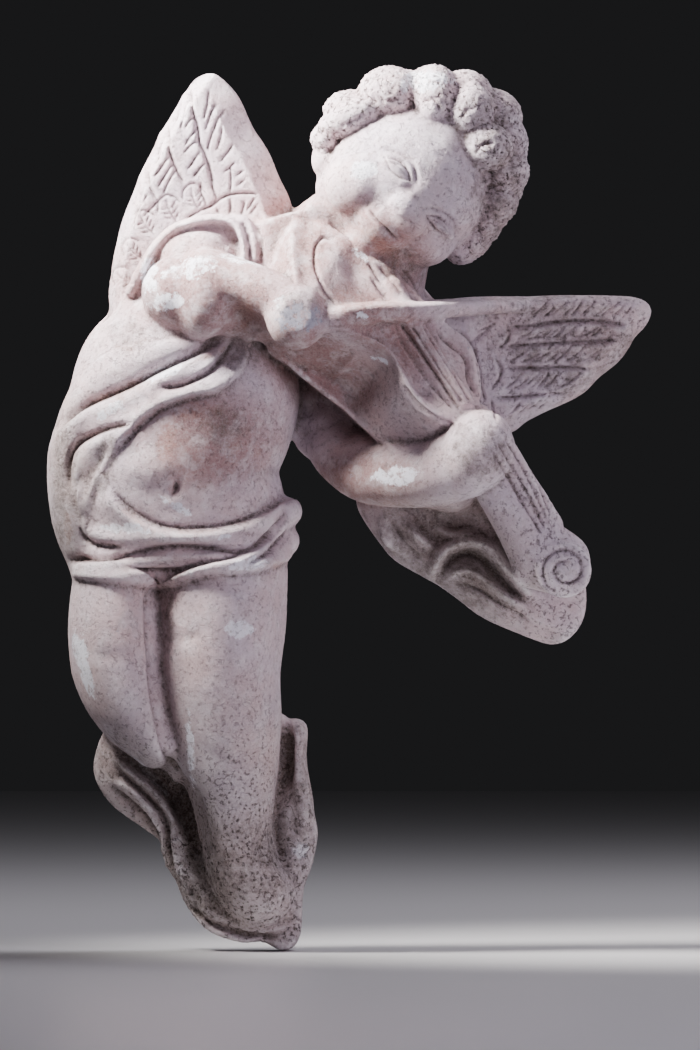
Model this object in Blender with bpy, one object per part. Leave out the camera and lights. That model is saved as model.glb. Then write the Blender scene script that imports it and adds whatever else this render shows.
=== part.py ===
"""Angel musician: a high-relief wall figure of a winged child playing the violin, cast in one piece.

Every form is placed by three measures in millimetres: across (to the viewer's right of the chest
line), up (from the hanging point) and out (from the wall). The figure keeps its pose and carving
as shares of its height.
"""
import math

import bmesh
import bpy
import numpy as np
from mathutils import Matrix, Vector

HEIGHT = 0.296              # metres, wing tip to the rim under the foot
MODEL_HEIGHT = 296.0        # the same in the millimetres that the forms below are written in
MM = HEIGHT / MODEL_HEIGHT

HANG_ACROSS = 5.0           # mm, the hanging point lies this far across from the chest line
GRAIN = 1.3                 # mm, size of the clay grain that the forms are fused with
BODY_SMOOTHING = 7          # passes that soften the joins between limbs
CARVED_SMOOTHING = 2        # passes that take the grain off the crisp forms
TRIANGLES = 9300            # budget of the finished solid
BURIED = -7.0               # mm, how far the forms run behind the wall before the back is cut flat

HAIR_CENTRE = (52.0, 30.0, 22.0)
HAIR_RADIUS = 29.0

PLATE_CORNER = (29.0, -27.0)     # point on the near edge of the violin's top plate
PLATE_OUT = 62.0                 # how far that edge stands out from the wall
PLATE_FALL = 0.62                # mm the plate drops toward the wall for each mm across it
PLATE_DIP = 0.014                # how fast the plate's tail end curves back to the chest
PLATE_ACROSS = (0.794, 0.607)    # direction across the plate in the front view
RIB_SHIFT = (-16.0, -12.0, -24.0)  # from the top plate's edge to the back plate's edge


# Building blocks

def place(across, up, out):
    """Blender position of a point given in millimetres."""
    return Vector(((across - HANG_ACROSS) * MM, -out * MM, up * MM))


def curve_through(rows, steps, closed=False):
    """Catmull-Rom rows through the given rows, with steps new rows for each span."""
    rows = np.asarray(rows, dtype=float)
    count = len(rows)
    spans = count if closed else count - 1
    result = []
    for span in range(spans):
        if closed:
            before, start, end, after = (rows[(span + k) % count] for k in (-1, 0, 1, 2))
        else:
            start, end = rows[span], rows[span + 1]
            before = rows[span - 1] if span else 2 * start - end
            after = rows[span + 2] if span + 2 < count else 2 * end - start
        for step in range(steps):
            t = step / steps
            result.append(0.5 * (2 * start + (end - before) * t
                                 + (2 * before - 5 * start + 4 * end - after) * t ** 2
                                 + (3 * start - before - 3 * end + after) * t ** 3))
    if not closed:
        result.append(rows[-1])
    return np.array(result)


def ball(form, centre, half, roll=0.0):
    """Ellipsoid with half sizes across, up and out, rolled in the front view by degrees."""
    turn = Matrix.Rotation(math.radians(-roll), 4, "Y")
    scale = Matrix.Diagonal((half[0] * MM, half[2] * MM, half[1] * MM, 1.0))
    matrix = Matrix.Translation(place(*centre)) @ turn @ scale
    bmesh.ops.create_icosphere(form, subdivisions=3, radius=1.0, matrix=matrix)


def skin(form, rings, closed_ends=True):
    """Close a row of rings of points into one tube with flat ends."""
    rows = [[form.verts.new(place(*point)) for point in ring] for ring in rings]
    for lower, upper in zip(rows, rows[1:]):
        for k in range(len(lower)):
            n = (k + 1) % len(lower)
            form.faces.new((lower[k], lower[n], upper[n], upper[k]))
    if closed_ends:
        form.faces.new(list(reversed(rows[0])))
        form.faces.new(rows[-1])


def limb(form, stations, steps=5, sides=18, blunt=False):
    """Round-ended limb through stations of (across, up, out, half width, half depth)."""
    path = curve_through(stations, steps)
    runs = np.gradient(path[:, :2], axis=0)
    runs /= np.linalg.norm(runs, axis=1)[:, None]
    angles = np.linspace(0.0, 2 * math.pi, sides, endpoint=False)
    ends = [] if blunt else [math.radians(a) for a in (78, 52, 26)]
    rows = [(path[0], runs[0], -math.sin(a), math.cos(a)) for a in ends]
    rows += [(row, run, 0.0, 1.0) for row, run in zip(path, runs)]
    rows += [(path[-1], runs[-1], math.sin(a), math.cos(a)) for a in reversed(ends)]
    rings = []
    for row, run, ahead, share in rows:
        across, up, out, half_width, half_depth = row
        side = (run[1], -run[0])
        middle = (across + run[0] * half_width * ahead, up + run[1] * half_width * ahead)
        rings.append([(middle[0] + side[0] * half_width * share * math.cos(a),
                       middle[1] + side[1] * half_width * share * math.cos(a),
                       out + half_depth * share * math.sin(a)) for a in angles])
    skin(form, rings)


def slab(form, outline, front, back=BURIED, steps=4):
    """Flat form with a rounded outline; front gives how far out it stands at a point."""
    edge = curve_through(outline, steps, closed=True)
    skin(form, [[(a, u, back) for a, u in edge], [(a, u, front(a, u)) for a, u in edge]])


def fused(name, forms, grain, smoothing):
    """Fuse overlapping closed forms into one skin and soften it."""
    mesh = bpy.data.meshes.new(name)
    forms.normal_update()
    forms.to_mesh(mesh)
    forms.free()
    lump = bpy.data.objects.new(name, mesh)
    bpy.context.scene.collection.objects.link(lump)
    remesh = lump.modifiers.new("Fuse", "REMESH")
    remesh.mode = "VOXEL"
    remesh.voxel_size = grain * MM
    smooth = lump.modifiers.new("Soften", "SMOOTH")
    smooth.factor = 0.5
    smooth.iterations = int(round(smoothing))
    return applied(lump)


def applied(thing):
    """Mesh of an object with its modifiers worked in; the object itself is removed."""
    graph = bpy.context.evaluated_depsgraph_get()
    mesh = bpy.data.meshes.new_from_object(thing.evaluated_get(graph))
    bpy.data.objects.remove(thing)
    return mesh


# Body

CHEST = [(-4, 8.6), (0, 11.6), (5, 13.2), (10, 14), (14, 17), (20, 14), (26, 6), (24, -10), (-4, -10)]


def torso(form):
    limb(form, [(-20, -2, 13, 20, 20), (-23, -20, 15, 28, 26), (-27, -38, 16, 37, 31),
                (-31, -54, 16, 38, 33),
                (-35, -71, 16, 36, 34.5), (-33, -86, 16, 37, 33), (-31, -102, 17, 36, 30),
                (-32, -109, 17, 34, 24)], sides=40, blunt=True)
    ball(form, (-38, -72, 20), (26, 19, 32))
    ball(form, (4, -3, 17), (17, 16, 23))
    slab(form, CHEST, lambda a, u: min(45.0, 40.0 + 0.4 * (a + 4)))
    limb(form, [(-52, -38, 18, 9, 16), (-60, -52, 18, 10, 18), (-65, -66, 17, 10, 20),
                (-66, -80, 16, 9.5, 20), (-64, -93, 15, 9, 20), (-60, -104, 14, 8, 18)])


def legs(form):
    limb(form, [(-52, -108, 18, 15, 28), (-52, -124, 20, 16.5, 28), (-51, -140, 20, 16, 28),
                (-46, -154, 20, 13, 27), (-39, -165, 20, 8.5, 24)], sides=36)
    limb(form, [(-18, -106, 18, 23, 31), (-18, -122, 19, 22.6, 31), (-18.4, -140, 19, 21, 30),
                (-17, -157, 18, 20, 29), (-15.8, -172, 17, 18, 27), (-14, -186, 15, 15, 24),
                (-12, -200, 14, 12, 21), (-9, -209, 14, 12.4, 20), (-4.8, -215, 14, 12.6, 19)], sides=36)
    limb(form, [(-40, -106, 10, 8, 22), (-39.5, -135, 10, 8, 23), (-36, -158, 9, 7, 22),
                (-31, -176, 9, 6, 16)])


ARM_RECESS = [(4, -38), (40, -40), (60, -60), (62, -80), (34, -82), (20, -77), (13.5, -70), (8, -65),
              (6, -58), (5, -48)]


def arms(form):
    limb(form, [(-31, -13.5, 39, 13, 14.5), (-24, -14, 44, 15.6, 15), (-17, -14.6, 45, 14.6, 13.5),
                (-9, -17, 39, 12.8, 12), (0, -20, 44, 10.6, 11)], sides=32)
    limb(form, [(-22, -8.4, 46, 9, 12), (-14, -9.6, 49, 8.2, 11), (-6, -12, 53, 8.0, 10.2),
                (2, -15.6, 56.4, 8.2, 10), (6, -19.6, 59, 9.6, 10.4)], sides=32)
    ball(form, (8, -21.5, 60), (10.6, 11.4, 11.4))
    slab(form, ARM_RECESS, lambda a, u: 7.0 + 0.3 * max(0.0, -46 - u) + 0.25 * max(0.0, a - 10))
    limb(form, [(19, -58, 8, 9, 9), (22, -66, 17, 10, 12), (31, -72.5, 28, 11, 14), (42, -74, 38, 11.2, 14),
                (54, -73.5, 46, 11.5, 13), (64, -70, 52, 12.5, 12.5)])
    ball(form, (68, -66.5, 54), (12.5, 14.5, 12.5), roll=-25)
    ball(form, (32, -28, 12), (26, 24, 22))
    limb(form, [(34, -76, 8, 6, 20), (60, -78, 12, 9, 30)])


# Head

FACE_TILT = -41.0        # degrees, the line of the eyes in the front view


def head(form):
    ball(form, (50, 30, 24), (27, 27, 27))
    ball(form, (43.5, 22, 31), (29.5, 27, 28))
    for cheek in ((30, 22.5, 45.4), (49.5, 7, 40)):
        ball(form, cheek, (13, 12, 13))
    ball(form, (37.5, 10.5, 49.5), (11, 9, 10), roll=FACE_TILT)
    ball(form, (33, 5, 44), (9, 8, 9))
    limb(form, [(41, 2, 26, 12.4, 24), (39.5, -10, 22, 11.4, 24), (38, -20, 18, 12.6, 22),
                (36, -30, 15, 14, 20)])
    limb(form, [(26, 14, 20, 12, 22), (14, 8, 16, 10, 22)])


def features(form):
    limb(form, [(50, 20.2, 53.4, 4.0, 2.8), (47, 17.6, 54.8, 4.8, 3.4), (44, 15.6, 56.4, 5.0, 3.8)])
    ball(form, (43.6, 14.8, 57.2), (5.6, 5.0, 4.6), roll=FACE_TILT)
    ball(form, (44.0, 12.2, 55.4), (8.8, 7.0, 4.8), roll=-50)
    ball(form, (39.4, 10.8, 56.0), (6.6, 4.2, 3.4), roll=FACE_TILT)
    ball(form, (41.6, 27.6, 55.6), (6.6, 2.7, 3.4), roll=FACE_TILT)
    ball(form, (56.0, 8.3, 50.8), (5.9, 2.5, 3.4), roll=FACE_TILT)


FRONT_CURLS = [  # across, up, out, long half, short half, depth half, roll
    (26.4, 45.0, 38, 12.2, 6.4, 9.4, 24), (25, 48.4, 33, 8.4, 6, 9, 10),
    (39.0, 53.0, 36, 10.6, 9.4, 10.6, 0), (54.4, 52.0, 37.6, 8.8, 11.0, 10.8, 0),
    (53.8, 48.2, 44.4, 4.8, 4.6, 4.8, 0), (48, 53, 33, 10, 8, 10, 0),
    (65.8, 47.0, 39.4, 8.6, 9.8, 9.6, -10), (64.6, 53.4, 34, 8.8, 7.8, 9.4, -20),
    (74.6, 46.6, 31, 9.4, 7.8, 9.6, -35), (71.4, 35.4, 40.4, 9.0, 8.2, 9.0, -20),
    (77.6, 37, 31, 7.8, 9.6, 9.6, 10), (77.6, 27, 33, 8.4, 8.2, 9.0, 0),
    (75.4, 17.6, 32, 6.6, 8.0, 9, 0), (71.6, 10, 30, 5.4, 7.2, 9, -20),
    (67.8, 4, 29, 5.0, 5.8, 8.6, -30), (63.4, 0.4, 28, 5.6, 4.2, 8.4, 10),
    (17.8, 38, 35, 5.0, 5.2, 9, 20), (17.2, 31, 33, 4.4, 6, 9.4, 0),
]
SIDE_CURL_ROWS = [(24.0, 8.0, 11), (9.0, 7.0, 10)]  # out, radius, how many
SIDE_CURL_ARC = (-38.0, 172.0)                      # degrees round the hair, from the right ear


def curls(form):
    ball(form, HAIR_CENTRE, (HAIR_RADIUS, HAIR_RADIUS - 1, HAIR_RADIUS - 3))
    for across, up, out, long_half, short_half, depth_half, roll in FRONT_CURLS:
        ball(form, (across, up, out), (long_half, short_half, depth_half), roll=roll)
    for out, radius, count in SIDE_CURL_ROWS:
        share = math.cos(math.asin((out - HAIR_CENTRE[2]) / HAIR_RADIUS))
        for k in range(count):
            angle = math.radians(SIDE_CURL_ARC[0] + (SIDE_CURL_ARC[1] - SIDE_CURL_ARC[0]) * k / (count - 1))
            reach = (HAIR_RADIUS + 1) * share - 0.6 * radius
            ball(form, (HAIR_CENTRE[0] + reach * math.cos(angle), HAIR_CENTRE[1] + reach * math.sin(angle),
                        out),
                 (radius, radius, radius))


# Wings

LEFT_WING = [(-21, 61), (-17, 59), (-11, 52), (-7, 43), (-2, 35), (2, 26), (6, 16), (4, 4), (-30, -20),
             (-54, -30), (-54, -24), (-55, -12), (-52, 6), (-46, 23), (-39, 38), (-31, 52), (-26, 59)]
LEFT_WING_EDGE = [(-20, 62), (-17, 59), (-11, 52), (-7, 43), (-2, 35), (2, 26), (6, 16), (6, 4)]
RIGHT_WING = [(50, -18), (57, -16), (75, -15), (96, -14), (115, -14), (124, -15.4), (127, -19), (125, -24),
              (121, -28.2), (119.8, -31), (116, -36), (111, -40), (108.6, -42), (105, -46), (99, -49.6),
              (92, -52.6), (85, -56), (79, -60), (66, -58), (50, -45)]


def wings(form):
    slab(form, LEFT_WING, lambda a, u: 19.0 - 0.06 * (u + 20))
    slab(form, RIGHT_WING, lambda a, u: 25.0 - 0.19 * (a - 60))
    limb(form, [(50, -19, 20, 3.2, 7), (66, -17.6, 20, 3.0, 7), (84, -17, 17.5, 2.8, 6.4),
                (104, -16.6, 14.5, 2.6, 5.6), (121, -17.6, 11.5, 2.4, 4.6)])


# Cloth

UNDER_CLOTH = [(28, -83), (31, -90), (39, -101), (46, -106), (55, -111), (62, -116), (70, -122), (79, -126),
               (92, -131), (98, -130), (103, -125), (105, -118), (104, -108), (97, -96), (86, -84),
               (70, -76), (50, -74), (30, -74)]
LOW_CLOTH = [(-56, -160), (-60, -170), (-59, -178), (-53, -186), (-42, -194), (-36, -199), (-33, -209),
             (-29, -219), (-22, -227), (-11, -231), (-3, -231), (4, -234), (9, -229), (10, -214),
             (13, -205),
             (15, -195), (13, -185), (11, -172), (8, -162), (2, -154), (-10, -160), (-28, -163),
             (-45, -160)]
SHOULDER_GROUND = [(-46, -14), (-43, -6), (-39, 2), (-33, 7.5), (-25, 10.5), (-14, 11.5), (-7, 10), (-3, 5),
                   (-2, -12), (-20, -20), (-40, -20)]
SHOULDER_EDGES = [
    [(-47.5, -13, 25, 2.0, 7), (-44, -6, 27, 1.9, 7), (-39.5, 1.5, 28.5, 1.9, 7),
     (-33.5, 7.6, 29.5, 1.9, 7),
     (-26, 10.4, 30.5, 1.8, 7), (-18, 11.2, 31.5, 1.8, 7), (-12.5, 9.4, 33, 1.7, 7),
     (-10.2, 4.6, 35, 1.6, 6.5), (-9.4, -2, 37, 1.6, 6)],
    [(-14, 11.4, 29, 1.6, 7), (-9, 10.4, 31, 1.7, 7), (-6.6, 6, 33, 1.7, 7), (-5.8, -2, 36, 1.5, 6)],
]


def cloth(form):
    slab(form, UNDER_CLOTH, lambda a, u: 13.0)
    slab(form, LOW_CLOTH, lambda a, u: 12.0 + max(0.0, -200 - u) * 0.28)
    limb(form, [(7.6, -160, 6, 4.2, 9), (8, -172, 6, 3.6, 9.5), (9.6, -184, 6, 4, 9.5),
                (10, -197, 6, 4.6, 10)])
    slab(form, SHOULDER_GROUND, lambda a, u: 30.0 + 0.11 * (a + 46))
    ball(form, (-24, -1, 27), (15.5, 10.4, 15))
    limb(form, [(-8, -94, 24, 6, 16), (0, -90, 21, 5.6, 14), (5, -86.6, 18, 5, 12)])
    limb(form, [(-8, -104, 24, 5, 16), (0, -99.6, 21, 5.2, 14), (4, -96, 17, 5, 12)])


def sleeve_edge(form):
    for edge in SHOULDER_EDGES:
        limb(form, edge)


# Violin

def plate_out(across, up):
    """How far out the tilted top plate of the violin stands at a point of the front view."""
    offset = (across - PLATE_CORNER[0], up - PLATE_CORNER[1])
    beyond = offset[0] * PLATE_ACROSS[0] + offset[1] * PLATE_ACROSS[1]
    along = offset[0] * PLATE_ACROSS[1] - offset[1] * PLATE_ACROSS[0]
    return PLATE_OUT - PLATE_FALL * beyond - PLATE_DIP * max(0.0, -12.0 - along) ** 2


PLATE = [(6.5, 9), (10, 13), (18, 9.4), (24, 5.6), (30, 2), (36, -3), (43, -8), (49, -14), (54, -20),
         (60, -25),
         (65, -29), (68.5, -36), (70, -46), (67, -54), (59, -57), (52, -53), (45, -45), (42.5, -39),
         (39, -33), (32, -28.6), (24, -26), (15, -21), (9, -13), (6.5, 0)]


BACK_BOARD = [(-2, -31), (6, -38), (11, -42.6), (20, -49.6), (32, -60), (43, -69), (47, -69.8), (52, -67),
              (57, -60), (50, -40), (30, -20), (10, -16)]


def violin(form):
    edge = curve_through(PLATE, 3, closed=True)
    top = [(a, u, plate_out(a, u)) for a, u in edge]
    skin(form, [[tuple(v + s for v, s in zip(point, RIB_SHIFT)) for point in top], top])
    slab(form, BACK_BOARD, lambda a, u: plate_out(a - RIB_SHIFT[0], u - RIB_SHIFT[1]) + RIB_SHIFT[2])
    limb(form, [(66, -58, 47, 8.5, 8), (75.5, -78, 45, 8.3, 8), (84, -92.6, 43.4, 9, 8.6),
                (91, -101, 42, 11.6, 9)], sides=28)
    ball(form, (94, -103, 42), (12, 11, 9.5))
    limb(form, [(68, -70, 16, 6, 26), (80, -90, 16, 6, 26), (92, -102, 16, 9, 24)])


def fingerboard(form):
    board = [(40, -13), (46, -24), (55, -39), (63, -50.5)]
    limb(form, [(a, u, plate_out(a, u) - 0.6, 4.3, 2.6) for a, u in board])
    limb(form, [(73, -60, 52, 4.5, 3.4), (83, -76, 49, 4.5, 3.4), (93, -91, 46, 4, 3)])
    scroll = [(97, -106, 47), (97, -106, 51)]
    rings = [[(a + 9.3 * math.cos(t), u + 9.3 * math.sin(t), out)
              for t in np.linspace(0, 2 * math.pi, 28, endpoint=False)] for a, u, out in scroll]
    skin(form, rings)


def bow(form):
    limb(form, [(15, -23.6, 62.5, 4.2, 4.6), (26, -21.4, 60.5, 4.0, 4.8), (37, -20.4, 57.5, 3.8, 4.8),
                (50, -19.8, 51, 3.2, 5), (62, -18.9, 41, 2.7, 5.4), (72, -18.2, 31, 2.4, 6),
                (84, -17.6, 22, 2.2, 5)])


# Carving, drawn on the fused figure as lines in the front view

def distances(points, line):
    """Distance of each point to a line of (across, up), the side it lies on, and its way to an end."""
    line = np.asarray(line, dtype=float)
    lengths = np.hypot(*np.diff(line, axis=0).T)
    best = np.full(len(points), 1e9)
    side = np.zeros(len(points))
    travel = np.zeros(len(points))
    before = 0.0
    for start, end, length in zip(line, line[1:], lengths):
        run = end - start
        share = np.clip(((points - start) @ run) / (run @ run), 0.0, 1.0)
        gap = points - (start + share[:, None] * run)
        away = np.hypot(gap[:, 0], gap[:, 1])
        nearer = away < best
        best = np.where(nearer, away, best)
        side = np.where(nearer, np.sign(run[0] * gap[:, 1] - run[1] * gap[:, 0]), side)
        travel = np.where(nearer, before + share * length, travel)
        before += length
    return best, side, np.minimum(travel, before - travel)


FINEST = 1.1             # mm, half width of the finest line that the casting shows
THIN = 26.0              # mm from the wall, what stands nearer is wing or cloth and has bevelled rims


def carve(spots, facing, lines, bend=4):
    """Move the spots (across, up, out) along their facing by every carved line near them.

    A line is (kind, height, width, points). A ridge or groove is round. A fold is full on the
    left of its run, where it falls away over six widths, and has a sharp edge on the right.
    A bevel brings what is thin and within its width nearer to the wall, by a share of its distance.
    """
    moved = spots.copy()
    for kind, height, width, points in lines:
        line = curve_through(points, bend) if len(points) > 2 else np.asarray(points, dtype=float)
        reach = width * (7.0 if kind == "fold" else 3.0)
        low = line.min(axis=0) - reach
        high = line.max(axis=0) + reach
        near = np.all((spots[:, :2] > low) & (spots[:, :2] < high), axis=1)
        near &= (facing[:, 2] > -0.2) & (spots[:, 2] > 1.0)
        chosen = np.nonzero(near)[0]
        away, side, ending = distances(spots[chosen, :2], line)
        if kind == "bevel":
            thin = np.clip((THIN - spots[chosen, 2]) / 3.0, 0.0, 1.0)
            moved[chosen, 2] *= 1.0 - height * thin * np.clip(1.0 - away / width, 0.0, 1.0)
            continue
        if kind == "fold":
            signed = away * side
            lift = np.exp(-(away / (3.0 * width)) ** 2) / (1.0 + np.exp(-signed / (0.25 * width)))
        else:
            lift = np.exp(-(away / width) ** 2)
        lift *= np.clip(0.3 + 0.7 * ending / (2.5 * width), 0.0, 1.0)
        front = np.clip((facing[chosen, 2] + 0.2) / 0.5, 0.0, 1.0)
        moved[chosen] += facing[chosen] * (height * lift * front)[:, None]
    return moved


def ridge(height, width, *points):
    return ("ridge", height, max(width, FINEST), points)


def groove(depth, width, *points):
    return ("groove", -depth, max(width, FINEST), points)


def fold(height, width, *points):
    return ("fold", height, max(width, FINEST), points)


def bevel(share, width, *points):
    return ("bevel", share, width, points)


def edge_lines():
    return [
        bevel(0.55, 9.0, *LEFT_WING_EDGE),
        bevel(0.45, 4.0, (-55, -24), (-55, -12), (-52, 6), (-46, 23), (-39, 38), (-31, 52), (-24, 61)),
        bevel(0.4, 5.0, (79, -60), (92, -53), (104, -47), (110, -41), (119, -32), (126, -22)),
        bevel(0.4, 6.0, (-60, -165), (-59, -178), (-53, -186), (-42, -194), (-36, -199), (-33, -209),
              (-29, -219)),
        bevel(0.4, 6.0, (28, -83), (39, -101), (55, -111), (70, -122), (79, -126), (92, -131)),
    ]


def sash_lines():
    return [
        fold(1.5, 1.4, (-30, -29.6), (-38, -30), (-45, -31), (-53, -33), (-60, -37.5)),
        ridge(1.6, 3.6, (-70, -50), (-60, -43.5), (-50, -38.5), (-40, -35), (-28, -31.5)),
        groove(2.7, 1.35, (-71, -58), (-67, -54), (-62, -50.6), (-55, -47.4), (-47, -44), (-40, -40.2),
               (-32, -36.6), (-25, -33.2), (-17, -29)),
        ridge(1.5, 2.6, (-73, -66), (-69, -60), (-62, -54.6), (-52, -51), (-42, -46), (-33, -40.6),
              (-24, -36)),
        groove(2.2, 1.0, (-37, -45.2), (-32, -45), (-27, -43.2), (-21, -39.8), (-17, -35.4), (-13, -30)),
        groove(2.6, 2.6, (-16, -38.6), (-13, -34), (-11.4, -30)),
        ridge(1.2, 1.5, (-28, -41.4), (-21, -37.4), (-16, -32)),
        fold(2.8, 1.8, (-61, -88), (-60, -82), (-58, -76), (-55, -71), (-50, -64), (-46, -59), (-42, -55.2),
             (-36, -51.4), (-28, -48.8), (-20, -47), (-14, -43.4), (-10, -39), (-8, -33)),
        groove(1.2, 1.0, (-51, -65.6), (-46, -60), (-42, -56.2), (-36, -52.2), (-28, -49.4), (-20, -47.8)),
        groove(2.4, 1.2, (-46.5, -57.4), (-55, -58.8), (-60, -60.6), (-64.5, -63.4), (-67.4, -67.6),
               (-68.4, -73), (-67.6, -79)),
        ridge(1.5, 2.3, (-52, -61), (-58, -63.6), (-62.6, -67.4), (-65, -73), (-65.4, -80)),
        groove(2.8, 2.3, (-53, -65), (-57.4, -70), (-60.6, -75.4), (-61.2, -82)),
        ridge(1.2, 1.2, (-63.4, -87), (-63.8, -81), (-62.6, -76.6)),
    ]


def hip_lines():
    return [
        fold(2.8, 1.8, (5, -83.6), (-2, -86.4), (-6, -88.4), (-12, -90.8), (-20, -92.4), (-30, -93),
             (-37, -92), (-42, -90), (-47, -87), (-51, -82.6), (-54, -78)),
        groove(1.2, 1.0, (-4, -86.8), (-11, -89.8), (-20, -91.6), (-30, -92.2), (-37, -91.2), (-43, -88.8),
               (-48, -85.4), (-52, -81)),
        ridge(1.4, 2.4, (-62, -88), (-61, -92.6), (-55, -95), (-45, -95.6), (-32, -95.4), (-20, -95.4),
              (-10, -94), (-2, -90.6)),
        groove(1.4, 1.0, (-64, -92.6), (-62.4, -95.6), (-58.6, -97.8), (-51, -98.2)),
        groove(2.7, 1.2, (-67, -102.6), (-58, -102.2), (-50, -101.6), (-44, -100.2), (-38, -98.8),
               (-30, -98), (-20, -98.8), (-12, -99.6), (-7, -98.8), (-2.6, -95.4), (1, -91), (4, -86.6)),
        ridge(1.3, 1.6, (-66, -105), (-54, -104.6), (-44, -103.4), (-36, -101.6), (-28, -101.2),
              (-17, -101)),
        groove(1.9, 0.95, (-46, -105.4), (-40, -106.2), (-32, -106), (-24, -104.2), (-17, -102.8),
               (-11, -101)),
        ridge(1.3, 1.3, (-50, -107.4), (-40, -108.6), (-31, -108), (-22, -105.8), (-12, -103.6), (-6, -100),
              (0, -95), (4.6, -89)),
        groove(1.0, 0.7, (-9, -104.6), (-3, -101), (1, -96.6), (4, -92)),
        fold(2.8, 1.7, (-68, -108.6), (-60, -109.4), (-50, -110.4), (-43, -111.6), (-38, -112.2),
             (-33, -111.4), (-28, -109.6), (-20, -107.4), (-10, -106.8), (0, -104.8), (7, -101)),
    ]


def leg_lines():
    return [
        groove(2.2, 1.4, (-41.4, -113), (-41, -124), (-40.4, -134), (-39.6, -144), (-37.8, -156),
               (-35, -168), (-32.6, -177)),
        groove(1.0, 2.4, (-33, -129), (-27, -128), (-23, -125)),
        groove(0.8, 3.2, (-25, -166), (-14, -169), (-4, -166)),
        groove(0.8, 2.6, (-62, -133), (-55, -135), (-48, -134)),
    ]


def low_cloth_lines():
    return [
        groove(6.0, 5.0, (-40, -174), (-33, -180), (-28, -188), (-25.4, -197)),
        ridge(4.6, 1.8, (-53, -169), (-47, -175), (-40, -180.4), (-35.6, -186), (-32.8, -192), (-31, -198),
              (-29.4, -206), (-28, -211)),
        groove(1.8, 1.1, (-50, -175), (-44, -180.6), (-38, -187), (-34.8, -193), (-33.2, -200),
               (-31.6, -208)),
        ridge(2.8, 1.5, (-52, -177), (-45, -182.4), (-39.4, -188.6), (-36.4, -195), (-34.2, -202),
              (-32.6, -209)),
        groove(1.5, 1.2, (-53, -180), (-46, -185.6), (-41, -190.4), (-37.4, -196)),
        groove(4.2, 1.7, (5, -159), (4.6, -172), (3.4, -182), (2.6, -190), (3, -197), (4.6, -204)),
        groove(2.6, 1.5, (-28, -217.6), (-24, -222.2), (-18, -225.6), (-10, -228.2), (-3, -229.2),
               (2, -228.4)),
        ridge(1.4, 1.2, (-29, -214), (-25.6, -219.4), (-18, -223.4), (-10, -225.8), (-2, -227), (4, -226)),
        ridge(1.8, 2.6, (8, -199), (8.4, -203)),
    ]


def under_cloth_lines():
    return [
        ridge(4.6, 2.2, (54, -107), (56, -101.5), (61, -97.6), (68, -96.8), (73, -99), (77, -104),
              (83, -111), (88, -115)),
        groove(2.6, 1.5, (55, -109), (60, -102.4), (66, -100.6), (71, -103.4), (76, -109), (83, -115.6)),
        ridge(2.8, 1.5, (59, -107.4), (65, -106), (70.6, -109), (76, -113.6), (84, -118.6)),
        groove(1.6, 1.1, (62, -111), (69, -112.6), (76, -117.6), (85, -123)),
        ridge(3.4, 1.7, (36, -90), (39, -95), (43, -99.6)),
        ridge(3.4, 1.7, (45, -90.4), (48.6, -95), (54, -99.4)),
        ridge(2.8, 1.5, (55, -92), (60, -94), (67, -93.4)),
        groove(2.0, 1.4, (40.4, -91), (44, -97), (49, -102)),
    ]


def shoulder_lines():
    return [
        groove(1.2, 3.0, (-10.4, -18), (-9.6, -24)),
        groove(1.0, 5.0, (-21, -12), (-20, -18)),
        groove(2.0, 2.4, (-17.6, 3), (-13.8, 3.6), (-12.6, 1.4)),
        groove(0.9, 0.8, (-4.2, 9), (-3.6, 3), (-3.8, -3)),
    ]


LEFT_SHAFTS = [
    [(-28.2, 55.5), (-27.4, 51), (-26.4, 46.4), (-25.2, 42.4), (-24.6, 37.5), (-23, 34), (-21.4, 29.4),
     (-20.2, 24)],
    [(-35.4, 43), (-35.2, 37.6), (-34.2, 33), (-32.2, 28), (-29.8, 23.8)],
    [(-42.6, 28), (-41.8, 23.4), (-40.4, 21), (-38.8, 18.4)],
]
SMALL_FEATHERS = [(-26.4, 18.6, 4.6, 16), (-34.4, 14.6, 4.8, 24), (-42.6, 9.8, 4.6, 34),
                  (-46.8, 0.8, 4.4, 44), (-50.2, -8.4, 4.2, 54)]
RIGHT_SHAFTS = [
    [(80, -24.6), (86, -24.1), (92, -23.2), (98, -22.6), (106, -22.4), (112, -22.8), (118, -23.8)],
    [(79, -31), (87, -30.4), (98, -29.7), (107, -29.2), (115, -28.8)],
    [(79.5, -38.3), (89, -38.3), (99, -38), (107, -38.7)],
    [(74.5, -48.3), (82, -48), (89, -47.3), (96, -47.3)],
]


def feather_lines():
    lines = [groove(1.6, 1.2, *shaft) for shaft in LEFT_SHAFTS + RIGHT_SHAFTS]
    for across, up, radius, turn in SMALL_FEATHERS:
        arc = [math.radians(turn + t) for t in (0, 40, 90, 140, 180)]
        lines.append(groove(1.2, 1.1, *[(across + radius * math.cos(t),
                                         up + radius * math.sin(t)) for t in arc]))
    lines += [
        groove(1.4, 1.1, (-29, 12), (-24, 14.8), (-20.4, 16.2), (-17.4, 18.6), (-14, 20), (-9, 20.4),
               (-5, 20)),
        groove(1.4, 1.1, (78.2, -23.5), (79.2, -27), (77.6, -30.3), (75.3, -32)),
        groove(1.4, 1.1, (74.5, -35), (76.4, -38.6), (75.8, -42), (73.6, -45)),
    ]
    return lines


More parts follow.
